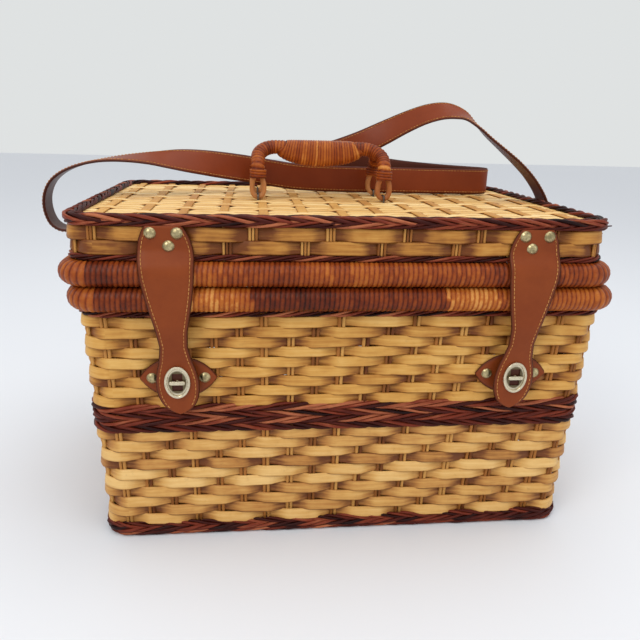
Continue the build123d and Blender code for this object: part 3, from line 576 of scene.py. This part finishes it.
dark = Strands("middle_band_willow")
for row in range(4):
    level = middle_low[2] + (row + 0.5) * (middle_high[2] - middle_low[2]) / 4
    twisted_band(dark, body_wall, level, -1.8, 66 + 5 * row, 1.45, 2.1, 1 if row % 2 else -1, 2.5)
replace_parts(dark.object(willow, "basket"), "middle_band")

dark = Strands("upper_band_willow")
twisted_band(dark, body_wall, (band_low[2] + band_high[2]) / 2, -2.0, 48, 1.2, 1.9)
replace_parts(dark.object(willow, "basket"), "upper_band")

dark = Strands("lid_band_willow")
twisted_band(dark, lid_wall, (lid_band_low[2] + lid_band_high[2]) / 2, -2.0, 52, 1.2, 1.7)
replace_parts(dark.object(willow, "lid"), "lid_band")

dark = Strands("lid_border_willow")
twisted_band(dark, lid_wall, lid_border_low[2] + 1.6, -0.6, 70, 1.3, 2.0)
twisted_band(dark, lid_wall, lid_border_high[2] - 3.3, -0.9, 64, 1.35, 2.4, -1)
twisted_band(dark, lid_wall, lid_border_high[2] - 2.4, -5.2, 58, 1.3, 2.2, 1, 1.6)
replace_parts(dark.object(willow, "lid"), "lid_border")


# Broken ends of willow at the right of the lid
splinters = Strands("loose_willow_ends")
for y, z, reach_x, rise in ((-112, 285, 15, 2.0), (-106, 283, 11, -4.0), (-99, 287, 8, -1.0)):
    side_place = lid_wall.starts[2] + y + lid_size[1] / 2 - wall_corner
    start = lid_wall.at(np.array([side_place]), z, -2.0)[0]
    t = np.linspace(0, 1, 7)
    points = start + np.stack([reach_x * t, -4 * t ** 2, rise * t ** 1.5], -1)
    side, up = frames(points, False, (0, 0, 1))
    taper = ring_section(1.0, 7)[None] * (1.3 - 0.8 * t)[:, None, None]
    splinters.sweep(points, side, up, taper, tone=rng.uniform(0.3, 0.9))
splinters.object(willow, "lid")


# Woven sheets: the lid's top and the base

# Painted shadow along both edges of each strip of a sheet, where the strips meet
painted_shadow_sheet_edges = np.array([-0.9, -0.5, -0.5, -0.9, -0.9, 0.0, 0.0, 0.0, -0.9])


def woven_sheet(name, rib_name, centre, size, z, material, body, rib_pitch, strip_width, rib_width,
                tones):
    """Strips along X over and under ribs along Y."""
    group = Strands(name)
    ribs = Strands(rib_name)
    half = np.asarray(size) / 2
    count = int(2 * (half[0] - 8) / rib_pitch) + 1
    places = (np.arange(count) - (count - 1) / 2) * rib_pitch
    rows = round(size[1] / strip_width)
    width = size[1] / rows
    x = np.arange(-half[0], half[0] + 0.1, rib_pitch / 14)
    over = np.array([[1.0 if (row + 2 * index) % 4 == 0 else -1.0 for index in range(count)]
                     for row in range(rows)])
    for row in range(rows):
        y = -half[1] + (row + 0.5) * width
        wave = np.zeros(len(x))
        for index, place in enumerate(places):
            wave += over[row, index] * np.exp(-((x - place) / (0.85 * rib_width)) ** 4)
        drift = np.interp(x, np.linspace(-half[0], half[0], 12), rng.normal(0, 0.35, 12))
        points = np.stack([centre[0] + x, centre[1] + y + drift, z + 0.95 * wave], -1)
        along_y = np.tile([0.0, 1.0, 0.0], (len(x), 1))
        up = unit(np.cross(tangents(points, False), along_y))
        tone = np.clip(rng.uniform(*tones) + np.interp(x, np.linspace(-half[0], half[0], 9),
                                                       rng.uniform(-0.15, 0.15, 9)), 0, 1)
        # Strips get painted shadow along their edges
        group.sweep(points, along_y, up, strip_section(width * rng.uniform(0.86, 0.95), 1.0),
                    tone=np.clip(tone[:, None] + painted_shadow_sheet_edges, 0, 1), shift=rng.uniform(0, 500))
    rows_y = -half[1] + (np.arange(rows) + 0.5) * width
    y = np.linspace(-half[1], half[1], rows * 6 + 1)
    for index, place in enumerate(places):
        wave = np.zeros(len(y))
        for row in range(rows):
            wave -= over[row, index] * np.exp(-((y - rows_y[row]) / (0.58 * width)) ** 6)
        points = np.stack([centre[0] + place + rng.normal(0, 0.8) * y / half[1], centre[1] + y,
                           z + 0.95 * np.clip(wave, -1, 1)], -1)
        side = np.tile([1.0, 0.0, 0.0], (len(y), 1))
        up = unit(np.cross(side, tangents(points, False)))
        ribs.sweep(points, side, up, strip_section(rib_width * rng.uniform(0.9, 1.08), 1.0),
                   tone=rng.uniform(0.65, 1.0), shift=rng.uniform(0, 300))
    return group.object(material, body), ribs.object(stake_tan, body)


lid_centre = (lid_panel_low[:2] + lid_panel_high[:2]) / 2
lid_top_size = lid_panel_high[:2] - lid_panel_low[:2] + 6
top_strips, top_ribs = woven_sheet("lid_top_strips", "lid_top_ribs", lid_centre, lid_top_size,
                                   lid_panel_high[2] - 1.6, pale, "lid", rib_pitch=33.5,
                                   strip_width=13.6, rib_width=7.8, tones=(0.5, 0.9))
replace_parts(top_strips, "lid_panel")
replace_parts(top_ribs, "lid_ribs")
base_centre = (base_low[:2] + base_high[:2]) / 2
base_size = base_high[:2] - base_low[:2] + 4
base_z = (base_low[2] + base_high[2]) / 2
base_strips, base_rods = woven_sheet("base_strips", "base_rib_reeds", base_centre, base_size, base_z,
                                     honey, "basket", rib_pitch=34, strip_width=10.0, rib_width=7.0,
                                     tones=(0.3, 0.7))
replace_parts(base_strips, "base_panel")
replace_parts(base_rods, "base_ribs")


# Wound rims and handle

def wound(group, points, closed, radius, pitch, lean, sides=18, tone=None, tall=None, groove=0.16,
          square=2.0):
    """Reed wound closely round a line of points, tall high at each point. Above 2, square fills
    out the corners of its section."""
    side, up = frames(points, closed, lean)
    steps = np.linalg.norm(np.diff(points, axis=0), axis=1)
    along = np.concatenate([[0.0], np.cumsum(steps)])
    total = along[-1] + (np.linalg.norm(points[0] - points[-1]) if closed else 0)
    turns = max(1, round(total / pitch))
    angle = np.arange(sides) * TURN / sides
    phase = along[:, None] / total * turns + angle[None, :] / TURN
    reed = 0.5 * pitch
    cell = phase - np.floor(phase) - 0.5
    swell = np.sqrt(np.clip(1 - (2 * cell) ** 2 * 0.96, 0, 1))
    ridge = np.maximum(swell * reed - reed, -groove * pitch)
    index = np.floor(phase).astype(int)
    shades = rng.uniform(0.48, 0.70, index.max() + 2)
    shades = shades + 0.10 * np.interp(np.arange(len(shades)), np.linspace(0, len(shades), 20),
                                       rng.normal(0, 1, 20))
    if tone is not None:
        shades = shades + tone(np.arange(len(shades)) / len(shades))
    heights = radius if tall is None else tall
    heights = np.broadcast_to(np.asarray(heights, float), along.shape)[:, None]
    wide, high = (np.sign(f(angle)) * np.abs(f(angle)) ** (2 / square) for f in (np.cos, np.sin))
    offsets = np.stack([(radius + ridge) * wide, (heights + ridge) * high], -1)
    # Tone falls in the grooves between turns: painted shade
    group.sweep(points, side, up, offsets, closed=closed,
                tone=np.clip(shades[index] - 0.75 * (1 - swell) ** 1.5, 0, 1))


def rim_points(low, high, step):
    radius = (high[2] - low[2]) / 2
    outline = Outline(high[:2] - low[:2], high[:2] - low[:2], 1.0, rim_corner, (low[0] + high[0]) / 2)
    count = int(outline.length / step)
    s = np.arange(count) / count * outline.length
    points, normal = outline.at(s, (low[2] + high[2]) / 2, -radius)
    return points, normal, radius


def body_rim_tone(place):
    """A dark stretch in the middle of the front with a light one at each end of it."""
    return np.where((place > 0.086) & (place < 0.198), -0.14,
                    np.where((place > 0.05) & (place < 0.229), 0.25, 0.0))


def lid_rim_tone(place):
    """A lighter stretch in the middle of the front."""
    return np.where((place > 0.104) & (place < 0.229), 0.10, 0.0)


for name, low, high, body, tone in (
    ("body_rim_reed", body_rim_low, body_rim_high, "basket", body_rim_tone),
    ("lid_rim_reed", lid_rim_low, lid_rim_high, "lid", lid_rim_tone),
):
    group = Strands(name)
    points, normal, radius = rim_points(low, high, 0.55)
    wound(group, points, True, radius + 0.3, pitch=4.0, lean=normal, tone=tone, groove=0.1)
    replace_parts(group.object(wrap, body), name.replace("_reed", "_wrap"))


def rounded_path(points, radii):
    """Straight runs joined by arcs, as a dense line of points."""
    points = [np.asarray(p, float) for p in points]
    line = [points[0]]
    for before, corner, after, radius in zip(points, points[1:], points[2:], radii):
        a, b = unit(before - corner), unit(after - corner)
        half = math.acos(np.clip(np.dot(a, b), -1, 1)) / 2
        reach = radius / math.tan(half)
        centre = corner + unit(a + b) * radius / math.sin(half)
        start, end = corner + a * reach, corner + b * reach
        u, v = start - centre, end - centre
        sweep = math.acos(np.clip(np.dot(unit(u), unit(v)), -1, 1))
        for t in np.linspace(0, 1, max(4, int(radius * sweep / path_step))):
            line.append(centre + (math.sin((1 - t) * sweep) * u + math.sin(t * sweep) * v)
                        / math.sin(sweep))
    line.append(points[-1])
    line = np.array(line)
    along = np.concatenate([[0], np.cumsum(np.linalg.norm(np.diff(line, axis=0), axis=1))])
    even = np.arange(0, along[-1], path_step)
    return np.stack([np.interp(even, along, line[:, k]) for k in range(3)], -1)


grip_low, grip_high = span("handle_grip_wrap")
cane_low, cane_high = span("handle_front_cane")
collar_low, collar_high = span("handle_collars")
eye_foot = span("handle_eyes")[0][2]
leg_low, leg_high = span("handle_leg_wraps")
foot_half = 28.0
cane_radius = 5.5
grip_depth = 26.0
grip_half_width = 15.3
collar_radius = 8.2
leg_radius = (leg_high[1] - leg_low[1] - 2 * foot_half) / 2
handle_y = (leg_low[1] + leg_high[1]) / 2
leg_left = cane_low[0] + cane_radius
leg_right = cane_high[0] - cane_radius
grip_z = leg_high[2] - leg_radius
foot_z = cane_low[2]
handle_wraps = Strands("handle_leg_reed")
for side in (-1, 1):
    foot_y = handle_y + side * foot_half
    grip_y = handle_y + side * (leg_radius + 0.1)
    for foot_x, away in ((leg_left, 1), (leg_right, -1)):
        middle = (leg_left + leg_right) / 2
        path = rounded_path([(foot_x, foot_y, foot_z), (foot_x, foot_y, foot_z + 8),
                             (foot_x, grip_y, grip_z), (middle - away * 34, grip_y, grip_z)],
                            [8, 18])
        wound(handle_wraps, path, False, leg_radius - 0.8, pitch=3.4, lean=(0, 1, 0), sides=14)
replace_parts(handle_wraps.object(wrap, "lid"), "handle_leg_wraps")

grip = Strands("handle_grip_reed")
x = np.arange(grip_low[0], grip_high[0], 0.5)
across = (x - (grip_low[0] + grip_high[0]) / 2) / ((grip_high[0] - grip_low[0]) / 2)
belly = np.clip(np.cos(across * math.pi / 2), 0, 1) ** 0.5
tall = leg_radius + (grip_depth / 2 - leg_radius) * belly
line = np.stack([x, np.full(len(x), handle_y), np.full(len(x), grip_high[2])], -1)
line[:, 2] -= tall
wound(grip, line, False, grip_half_width, pitch=2.7, lean=(0, 1, 0), sides=32,
      tone=lambda place: 0.14, tall=tall, square=3.5)
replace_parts(grip.object(wrap, "lid"), "handle_grip_wrap")

collars = Strands("handle_collar_reed")
eyes = Strands("handle_eye_cane")
for foot_x in (leg_left, leg_right):
    for side in (-1, 1):
        foot_y = handle_y + side * foot_half
        z = np.arange(collar_low[2], collar_high[2], 0.4)
        line = np.stack([np.full(len(z), foot_x), np.full(len(z), foot_y), z], -1)
        wound(collars, line, False, collar_radius, pitch=2.6, lean=(1, 0, 0), sides=16)
        # Split cane bent into a pointed loop below the collar
        angle = np.linspace(-0.93 * math.pi, 0.93 * math.pi, 30)
        height = collar_low[2] + 3 - eye_foot
        loop = np.stack([foot_x + 6.0 * np.sin(angle) * (1 + 0.25 * np.cos(angle)),
                         np.full(len(angle), foot_y),
                         eye_foot + 2.0 + height * (0.5 - 0.5 * np.cos(angle))], -1)
        inward, across_y = frames(loop, False, (0, 1, 0))
        eyes.sweep(loop, inward, across_y, strip_section(6.4, 4.0, 0.6),
                   tone=rng.uniform(0.55, 0.85))
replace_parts(collars.object(wrap, "lid"), "handle_collars")
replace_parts(eyes.object(cane, "lid"), "handle_eyes")


# Leather

def stitches(name, points, normals, body):
    """Short thread stitches along a line that lies on a face."""
    group = Strands(name)
    steps = np.linalg.norm(np.diff(points, axis=0), axis=1)
    along = np.concatenate([[0.0], np.cumsum(steps)])
    for start in np.arange(1.0, along[-1] - stitch_length, stitch_pitch):
        place = start + np.linspace(0, 1, 5) * stitch_length
        line = np.stack([np.interp(place, along, points[:, k]) for k in range(3)], -1)
        face = unit(np.stack([np.interp(place, along, normals[:, k]) for k in range(3)], -1))
        line = line + face * (thread_radius * np.array([-0.9, 0.35, 0.5, 0.35, -0.9]))[:, None]
        side, up = frames(line, False, face)
        group.sweep(line, side, up, ring_section(thread_radius, 6), tone=rng.uniform(0.2, 1.0))
    return group.object(thread, body)


def leather_sheet(name, middle, across, face, half_width, thickness, material, body,
                  columns=13, dark=None):
    """Leather along a middle line, half_width wide at each point, with round dark edges. Rows named
    by dark are painted dark out to its reach: painted shade where a slot opens onto the recess
    behind."""
    group = Strands(name)
    place = np.linspace(-1, 1, columns)
    half = np.asarray(half_width, float)[:, None]
    edge_round = 0.55 * thickness
    inner = np.sign(place) * (np.abs(place) * (half - edge_round))
    outer_face = np.full_like(inner, thickness)
    dip = 0.35 * np.clip((np.abs(place) - 0.75) / 0.25, 0, 1)
    outer = np.stack([inner, outer_face - dip], -1)
    back = np.stack([inner[:, ::-1], np.zeros_like(inner)], -1)
    right = np.stack([half, np.full_like(half, thickness / 2)], -1)
    left = np.stack([-half, np.full_like(half, thickness / 2)], -1)
    offsets = np.concatenate([outer, right, back, left], axis=1)
    edge = np.clip((np.abs(place) - 0.86) / 0.14, 0, 1) * 0.45
    tone = np.concatenate([edge, [1.0], np.full(columns, 0.75), [1.0]])
    tone = np.tile(tone, (len(middle), 1))
    if dark is not None:
        rows, reach = dark
        # Slot rows take the darkest tone: painted shade in the slot's opening
        tone[:, :columns][rows[:, None] & (np.abs(inner) < reach)] = 1.0
    group.sweep(middle, across, face, offsets, tone=tone)
    return group.object(material, body)


def flap_half_width(z):
    """Half width of a closure at a height, seen from the front."""
    heights = [131.0, 132, 134, 136.6, 140.7, 146.3, 153, 160, 168, 178, 191, 205, 218, 232, 247,
               262, 270, 277, 283, 286.9]
    halves = [1.5, 4.5, 8.0, 11.2, 14.2, 16.4, 17.5, 17.6, 16.2, 13.4, 11.3, 12.6, 15.5, 18.4, 20.8,
              22.0, 21.4, 19.8, 17.2, 14.6]
    return np.interp(z, heights, halves)


tail_low, tail_high = span("left_flap_tail")
anchor_high = span("left_flap_anchor")[1]
sheet = 2.5
front_inner_y = tail_low[1] + sheet
pivot_z = 256.0
slot_half_width = 4.4
slot_half_height = 7.8
flap_side_y = [(290.0, anchor_high[1]), (272, anchor_high[1]), (266.5, anchor_high[1] - 1.2),
               (261.5, anchor_high[1] - 4.4), (256.5, front_inner_y + 1.8),
               (251.0, front_inner_y + 0.3), (245.0, front_inner_y), (236, front_inner_y),
               (214, front_inner_y), (204, front_inner_y + 0.6), (178, tail_high[1] - 0.6),
               (170, tail_high[1]), (129, tail_high[1])]
for name, sign in (("left", -1), ("right", 1)):
    plate_low, plate_high = span(f"{name}_eyelet_plate")
    lock_x = (plate_low[0] + plate_high[0]) / 2
    lock_z = (plate_low[2] + plate_high[2]) / 2
    top_x = sign * 150.0
    z = np.concatenate([np.linspace(anchor_high[2], 262, 12)[:-1], np.linspace(262, 240, 14)[:-1],
                        np.linspace(240, 150, 34)[:-1], np.linspace(150, tail_low[2], 18)])
    profile = smooth_line(flap_side_y, 8)
    y = np.interp(z, profile[::-1, 0], profile[::-1, 1])
    x = lock_x + (top_x - lock_x) * (z - lock_z) / (anchor_high[2] - lock_z)
    middle = np.stack([x, y, z], -1)
    across = np.tile([-1.0, 0.0, 0.0], (len(z), 1))
    face = unit(np.cross(tangents(middle, False), across))
    face = np.where((face[:, 1:2] > 0), -face, face)
    half = flap_half_width(z)
    fold = ("lid", f"{name}_flap", (top_x * MM, front_inner_y * MM, (pivot_z + 5) * MM),
            (top_x * MM, front_inner_y * MM, (pivot_z - 7) * MM))
    # Rows at the lock hold a slot, painted dark as shade
    slot_rows = np.abs(z - lock_z) < slot_half_height
    piece = leather_sheet(f"{name}_closure", middle, across, face, half, sheet, leather, fold,
                          17, (slot_rows, slot_half_width))
    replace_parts(piece, f"{name}_flap_anchor", f"{name}_flap_tail")
    inset = np.clip(half - 3.2, 0.3, None)
    keep = (z < anchor_high[2] - 2.5) & (z > tail_low[2] + 5)
    for edge in (-1, 1):
        line = middle + across * (edge * inset)[:, None] + face * (sheet - 0.12)
        stitches(f"{name}_closure_seam_{'a' if edge < 0 else 'b'}", line[keep], face[keep], fold)


# Catch tabs: pointed leather under the locks, flat on the sloping wall
wall_slope = (wall_top_size[1] - wall_bottom_size[1]) / 2 / wall_top_z
wall_up = unit(np.array([0.0, -wall_slope, 1.0]))
t = np.linspace(-1, 1, 41)
for name in ("left", "right"):
    low, high = span(f"{name}_catch_tab")
    middle_x, _, middle_z = (low + high) / 2
    half_w, _, half_h = (high - low) / 2
    wall_y = -(wall_bottom_size[1] / 2 + wall_slope * middle_z)
    middle = np.array([middle_x, wall_y, middle_z]) + np.outer(t * half_w, (1, 0, 0))
    half = np.maximum(half_h * (1 - np.abs(t) ** 2.1) ** 0.75, 1.5)
    across, face = (np.tile(v, (len(t), 1)) for v in (wall_up, np.cross((1, 0, 0), wall_up)))
    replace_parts(leather_sheet(f"{name}_tab_leather", middle, across, face, half, sheet, leather,
                              "basket"), f"{name}_catch_tab")

# Hinge straps at the back
for name in ("left", "right"):
    lid_leaf_low, lid_leaf_high = span(f"{name}_hinge_lid_leaf")
    leaf_low, leaf_high = span(f"{name}_hinge_body_leaf")
    middle_x = (leaf_low[0] + leaf_high[0]) / 2
    rim_y = leaf_high[1] - sheet
    route = smooth_line([(lid_leaf_high[2], lid_leaf_low[1]), (267, lid_leaf_low[1]),
                         (262, lid_leaf_low[1] + 3), (256, rim_y - 0.3), (248, rim_y), (238, rim_y),
                         (220, rim_y), (213, rim_y - 5), (205, leaf_low[1] + 2.6),
                         (196, leaf_low[1] + 1.7), (leaf_low[2], leaf_low[1])], 6)
    middle = np.stack([np.full(len(route), middle_x), route[:, 1], route[:, 0]], -1)
    across = np.tile([1.0, 0.0, 0.0], (len(middle), 1))
    face = unit(np.cross(tangents(middle, False), across))
    face = np.where(face[:, 1:2] < 0, -face, face)
    end_round = np.minimum(np.arange(len(middle)), np.arange(len(middle))[::-1])
    half = 15.0 - 2.5 * np.clip(1 - end_round / 4, 0, 1) ** 2
    joint_z = 238.5
    fold = ("basket", "lid", (middle_x * MM, rim_y * MM, (joint_z - 6) * MM),
            (middle_x * MM, rim_y * MM, (joint_z + 6) * MM))
    piece = leather_sheet(f"{name}_hinge_strap", middle, across, face, half, sheet, leather, fold)
    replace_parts(piece, f"{name}_hinge_lid_leaf", f"{name}_hinge_body_leaf")

# Shoulder strap: x, y, z of its middle line and the turn of its width from flat to upright
strap_route = [
    (-249, 15, 268, 0), (-258, 15, 259.5, 0), (-268, 15, 258.5, 0), (-277, 15, 264.5, 0),
    (-281.5, 15, 277, 0), (-281, 15, 291, 0), (-275, 15, 304, 0), (-264, 15, 313.5, 0),
    (-248, 15, 320.5, 0), (-228, 15, 325, 0), (-206, 16, 327.5, 8), (-183, 18, 328, 20),
    (-160, 24, 326.5, 38), (-136, 37, 324, 56), (-112, 50, 320.5, 72), (-86, 61, 316.5, 82),
    (-58, 65.5, 312, 88), (-28, 66.5, 308.5, 90), (20, 66.5, 307.3, 90), (75, 66.5, 307.3, 90),
    (130, 66.5, 307.3, 90), (165, 67, 307.3, 90), (177, 68.5, 307.5, 90), (183, 74.5, 308, 90),
    (177, 80.5, 308.5, 90), (164, 82, 309, 90), (125, 81.5, 311, 90), (80, 81, 314.5, 90),
    (40, 81.5, 320, 90), (14, 83, 325, 90), (3, 85, 327.5, 90), (-2, 91, 329.5, 90),
    (4, 97, 331.5, 90), (18, 98, 335.5, 90), (42, 95, 345, 82), (66, 87, 357.5, 70),
    (88, 76, 369.5, 56), (107, 64, 378, 44), (124, 53, 381, 34), (140, 43, 377, 24),
    (153, 35, 367, 15), (166, 29, 355, 9), (180, 23, 343, 4), (194, 18, 331, 0),
    (207.5, 16, 318, 0), (219, 15, 303.5, 0), (226.5, 15, 290.5, 0), (232, 15, 279.5, 0),
]
strap_end_y = 15.0
strap_width = 28.0
strap_thickness = 2.6
ring_wire = 1.5
fold_radius = 4.3
route = smooth_line(strap_route, 6)
line = route[:, :3]
turn = np.radians(route[:, 3])
lean = np.stack([np.zeros(len(turn)), np.cos(turn), np.sin(turn)], -1)
across, face = frames(line, False, lean)
strap = leather_sheet("shoulder_strap_leather", line - face * strap_thickness / 2, across, face,
                      np.full(len(line), strap_width / 2), strap_thickness, strap_leather, "lid",
                      15)
folds = Strands("strap_ends")
for name, sign in (("left", -1), ("right", 1)):
    ring_low, ring_high = span(f"{name}_strap_ring")
    bar_x = ring_low[0] + ring_wire if sign < 0 else ring_high[0] - ring_wire
    bar_z = (ring_low[2] + ring_high[2]) / 2
    y = np.linspace(strap_end_y - strap_width / 2, strap_end_y + strap_width / 2, 12)
    centre = np.stack([np.full(12, bar_x), y, np.full(12, bar_z)], -1)
    side = np.tile([1.0, 0.0, 0.0], (12, 1))
    up = np.tile([0.0, 0.0, 1.0], (12, 1))
    folds.sweep(centre, side, up, ring_section(fold_radius, 20), tone=0.15)
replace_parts(strap, "shoulder_strap")
folds.object(strap_leather, "lid")
for edge in (-1, 1):
    seam = line + across * (edge * (strap_width / 2 - 2.6)) + face * (strap_thickness / 2 - 0.1)
    stitches(f"strap_seam_{'a' if edge < 0 else 'b'}", seam, face, "lid")

# CAD nodes that stay, with their finishes
finishes = {"handle_staples": wire}
for name in ("flap", "hinge_lid", "hinge_body", "catch_tab", "strap_tab"):
    finishes[name + "_rivets"] = brass
for name in ("body_rim_hoop", "lid_rim_hoop", "handle_front_cane", "handle_back_cane"):
    finishes[name] = cane
for name in ("left", "right"):
    finishes[f"{name}_strap_tab"] = leather
    finishes[f"{name}_catch"] = finishes[f"{name}_strap_ring"] = brass
    finishes[f"{name}_turn_knob"] = finishes[f"{name}_knob_shank"] = bright
    plate = f"{name}_eyelet_plate"
    finishes[plate] = metal_material(plate + "_finish", *plate_metal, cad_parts[plate])
for name, material in finishes.items():
    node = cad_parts[name]
    if node.material_slots:
        for holder in node.material_slots:
            holder.material = material
    else:
        node.data.materials.append(material)


# Floor, light and camera

def seen_directly(tree):
    """One for the rays of the camera, of mirrors and of clear bodies, else nought."""
    path = tree.nodes.new("ShaderNodeLightPath")
    seen = maths(tree, "ADD", path.outputs["Is Camera Ray"], path.outputs["Is Glossy Ray"])
    return maths(tree, "ADD", seen, path.outputs["Is Transmission Ray"], clamp=True)


world = bpy.data.worlds.new("room")
bpy.context.scene.world = world
world.use_nodes = True
tree = world.node_tree
back = tree.nodes["Background"]
back.inputs["Color"].default_value = (0.93, 0.96, 1.0, 1)
back.inputs["Strength"].default_value = 0.8
plain = add_node(tree, "ShaderNodeBackground")
plain.inputs["Color"].default_value = (0.74, 0.76, 0.76, 1)
plain.inputs["Strength"].default_value = 1.0
choice = tree.nodes.new("ShaderNodeMixShader")
tree.links.new(seen_directly(tree), choice.inputs["Fac"])
tree.links.new(back.outputs["Background"], choice.inputs[1])
tree.links.new(plain.outputs["Background"], choice.inputs[2])
tree.links.new(choice.outputs["Shader"], tree.nodes["World Output"].inputs["Surface"])

floor_mesh = bpy.data.meshes.new("floor")
reach = 6.0
floor_mesh.from_pydata([(-reach, -reach, 0), (reach, -reach, 0), (reach, reach, 0),
                        (-reach, reach, 0)], [], [(0, 1, 2, 3)])
floor = bpy.data.objects.new("floor", floor_mesh)
bpy.context.collection.objects.link(floor)
floor.location.z = -0.0002
cloth, tree, shader = nodes_of("pale_floor", 0.8)
shader.inputs["Base Color"].default_value = (0.80, 0.81, 0.83, 1)
floor_mesh.materials.append(cloth)
floor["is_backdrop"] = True


def area_light(name, place, target, size, power, colour=(1, 1, 1)):
    data = bpy.data.lights.new(name, "AREA")
    data.shape = "SQUARE"
    data.size = size
    data.energy = power
    data.color = colour
    lamp = bpy.data.objects.new(name, data)
    lamp.location = place
    lamp.rotation_euler = (Vector(target) - Vector(place)).to_track_quat("-Z", "Y").to_euler()
    bpy.context.collection.objects.link(lamp)


area_light("window", (-1.1, -1.3, 1.6), (0, 0, 0.15), size=0.9, power=13, colour=(1.0, 0.98, 0.95))
area_light("ceiling", (0.3, -0.2, 1.9), (0, 0, 0.2), size=1.4, power=11)
area_light("fill", (1.4, -1.2, 0.7), (0, 0, 0.15), size=1.0, power=2.5)

# Camera as fitted to the photo: its place, and how it is turned, tipped and rolled
camera_place = np.array([-0.0831, -0.6386, 0.3661])
yaw, pitch, roll = 0.113, 0.302, 0.029
picture = 640
focal = 634.0
ahead = np.array([math.sin(yaw) * math.cos(pitch), math.cos(yaw) * math.cos(pitch),
                  -math.sin(pitch)])
level = np.array([math.cos(yaw), -math.sin(yaw), 0.0])
above = np.cross(level, ahead)
right = math.cos(roll) * level + math.sin(roll) * above
upward = -math.sin(roll) * level + math.cos(roll) * above
data = bpy.data.cameras.new("camera")
data.sensor_width = 36
data.sensor_fit = "HORIZONTAL"
data.lens = focal / picture * data.sensor_width
data.clip_start = 0.01
camera = bpy.data.objects.new("camera", data)
camera.matrix_world = Matrix([[right[k], upward[k], -ahead[k], camera_place[k]] for k in range(3)]
                             + [[0, 0, 0, 1]])
bpy.context.collection.objects.link(camera)
bpy.context.scene.camera = camera
bpy.context.scene.view_settings.view_transform = "Standard"

low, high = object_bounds()
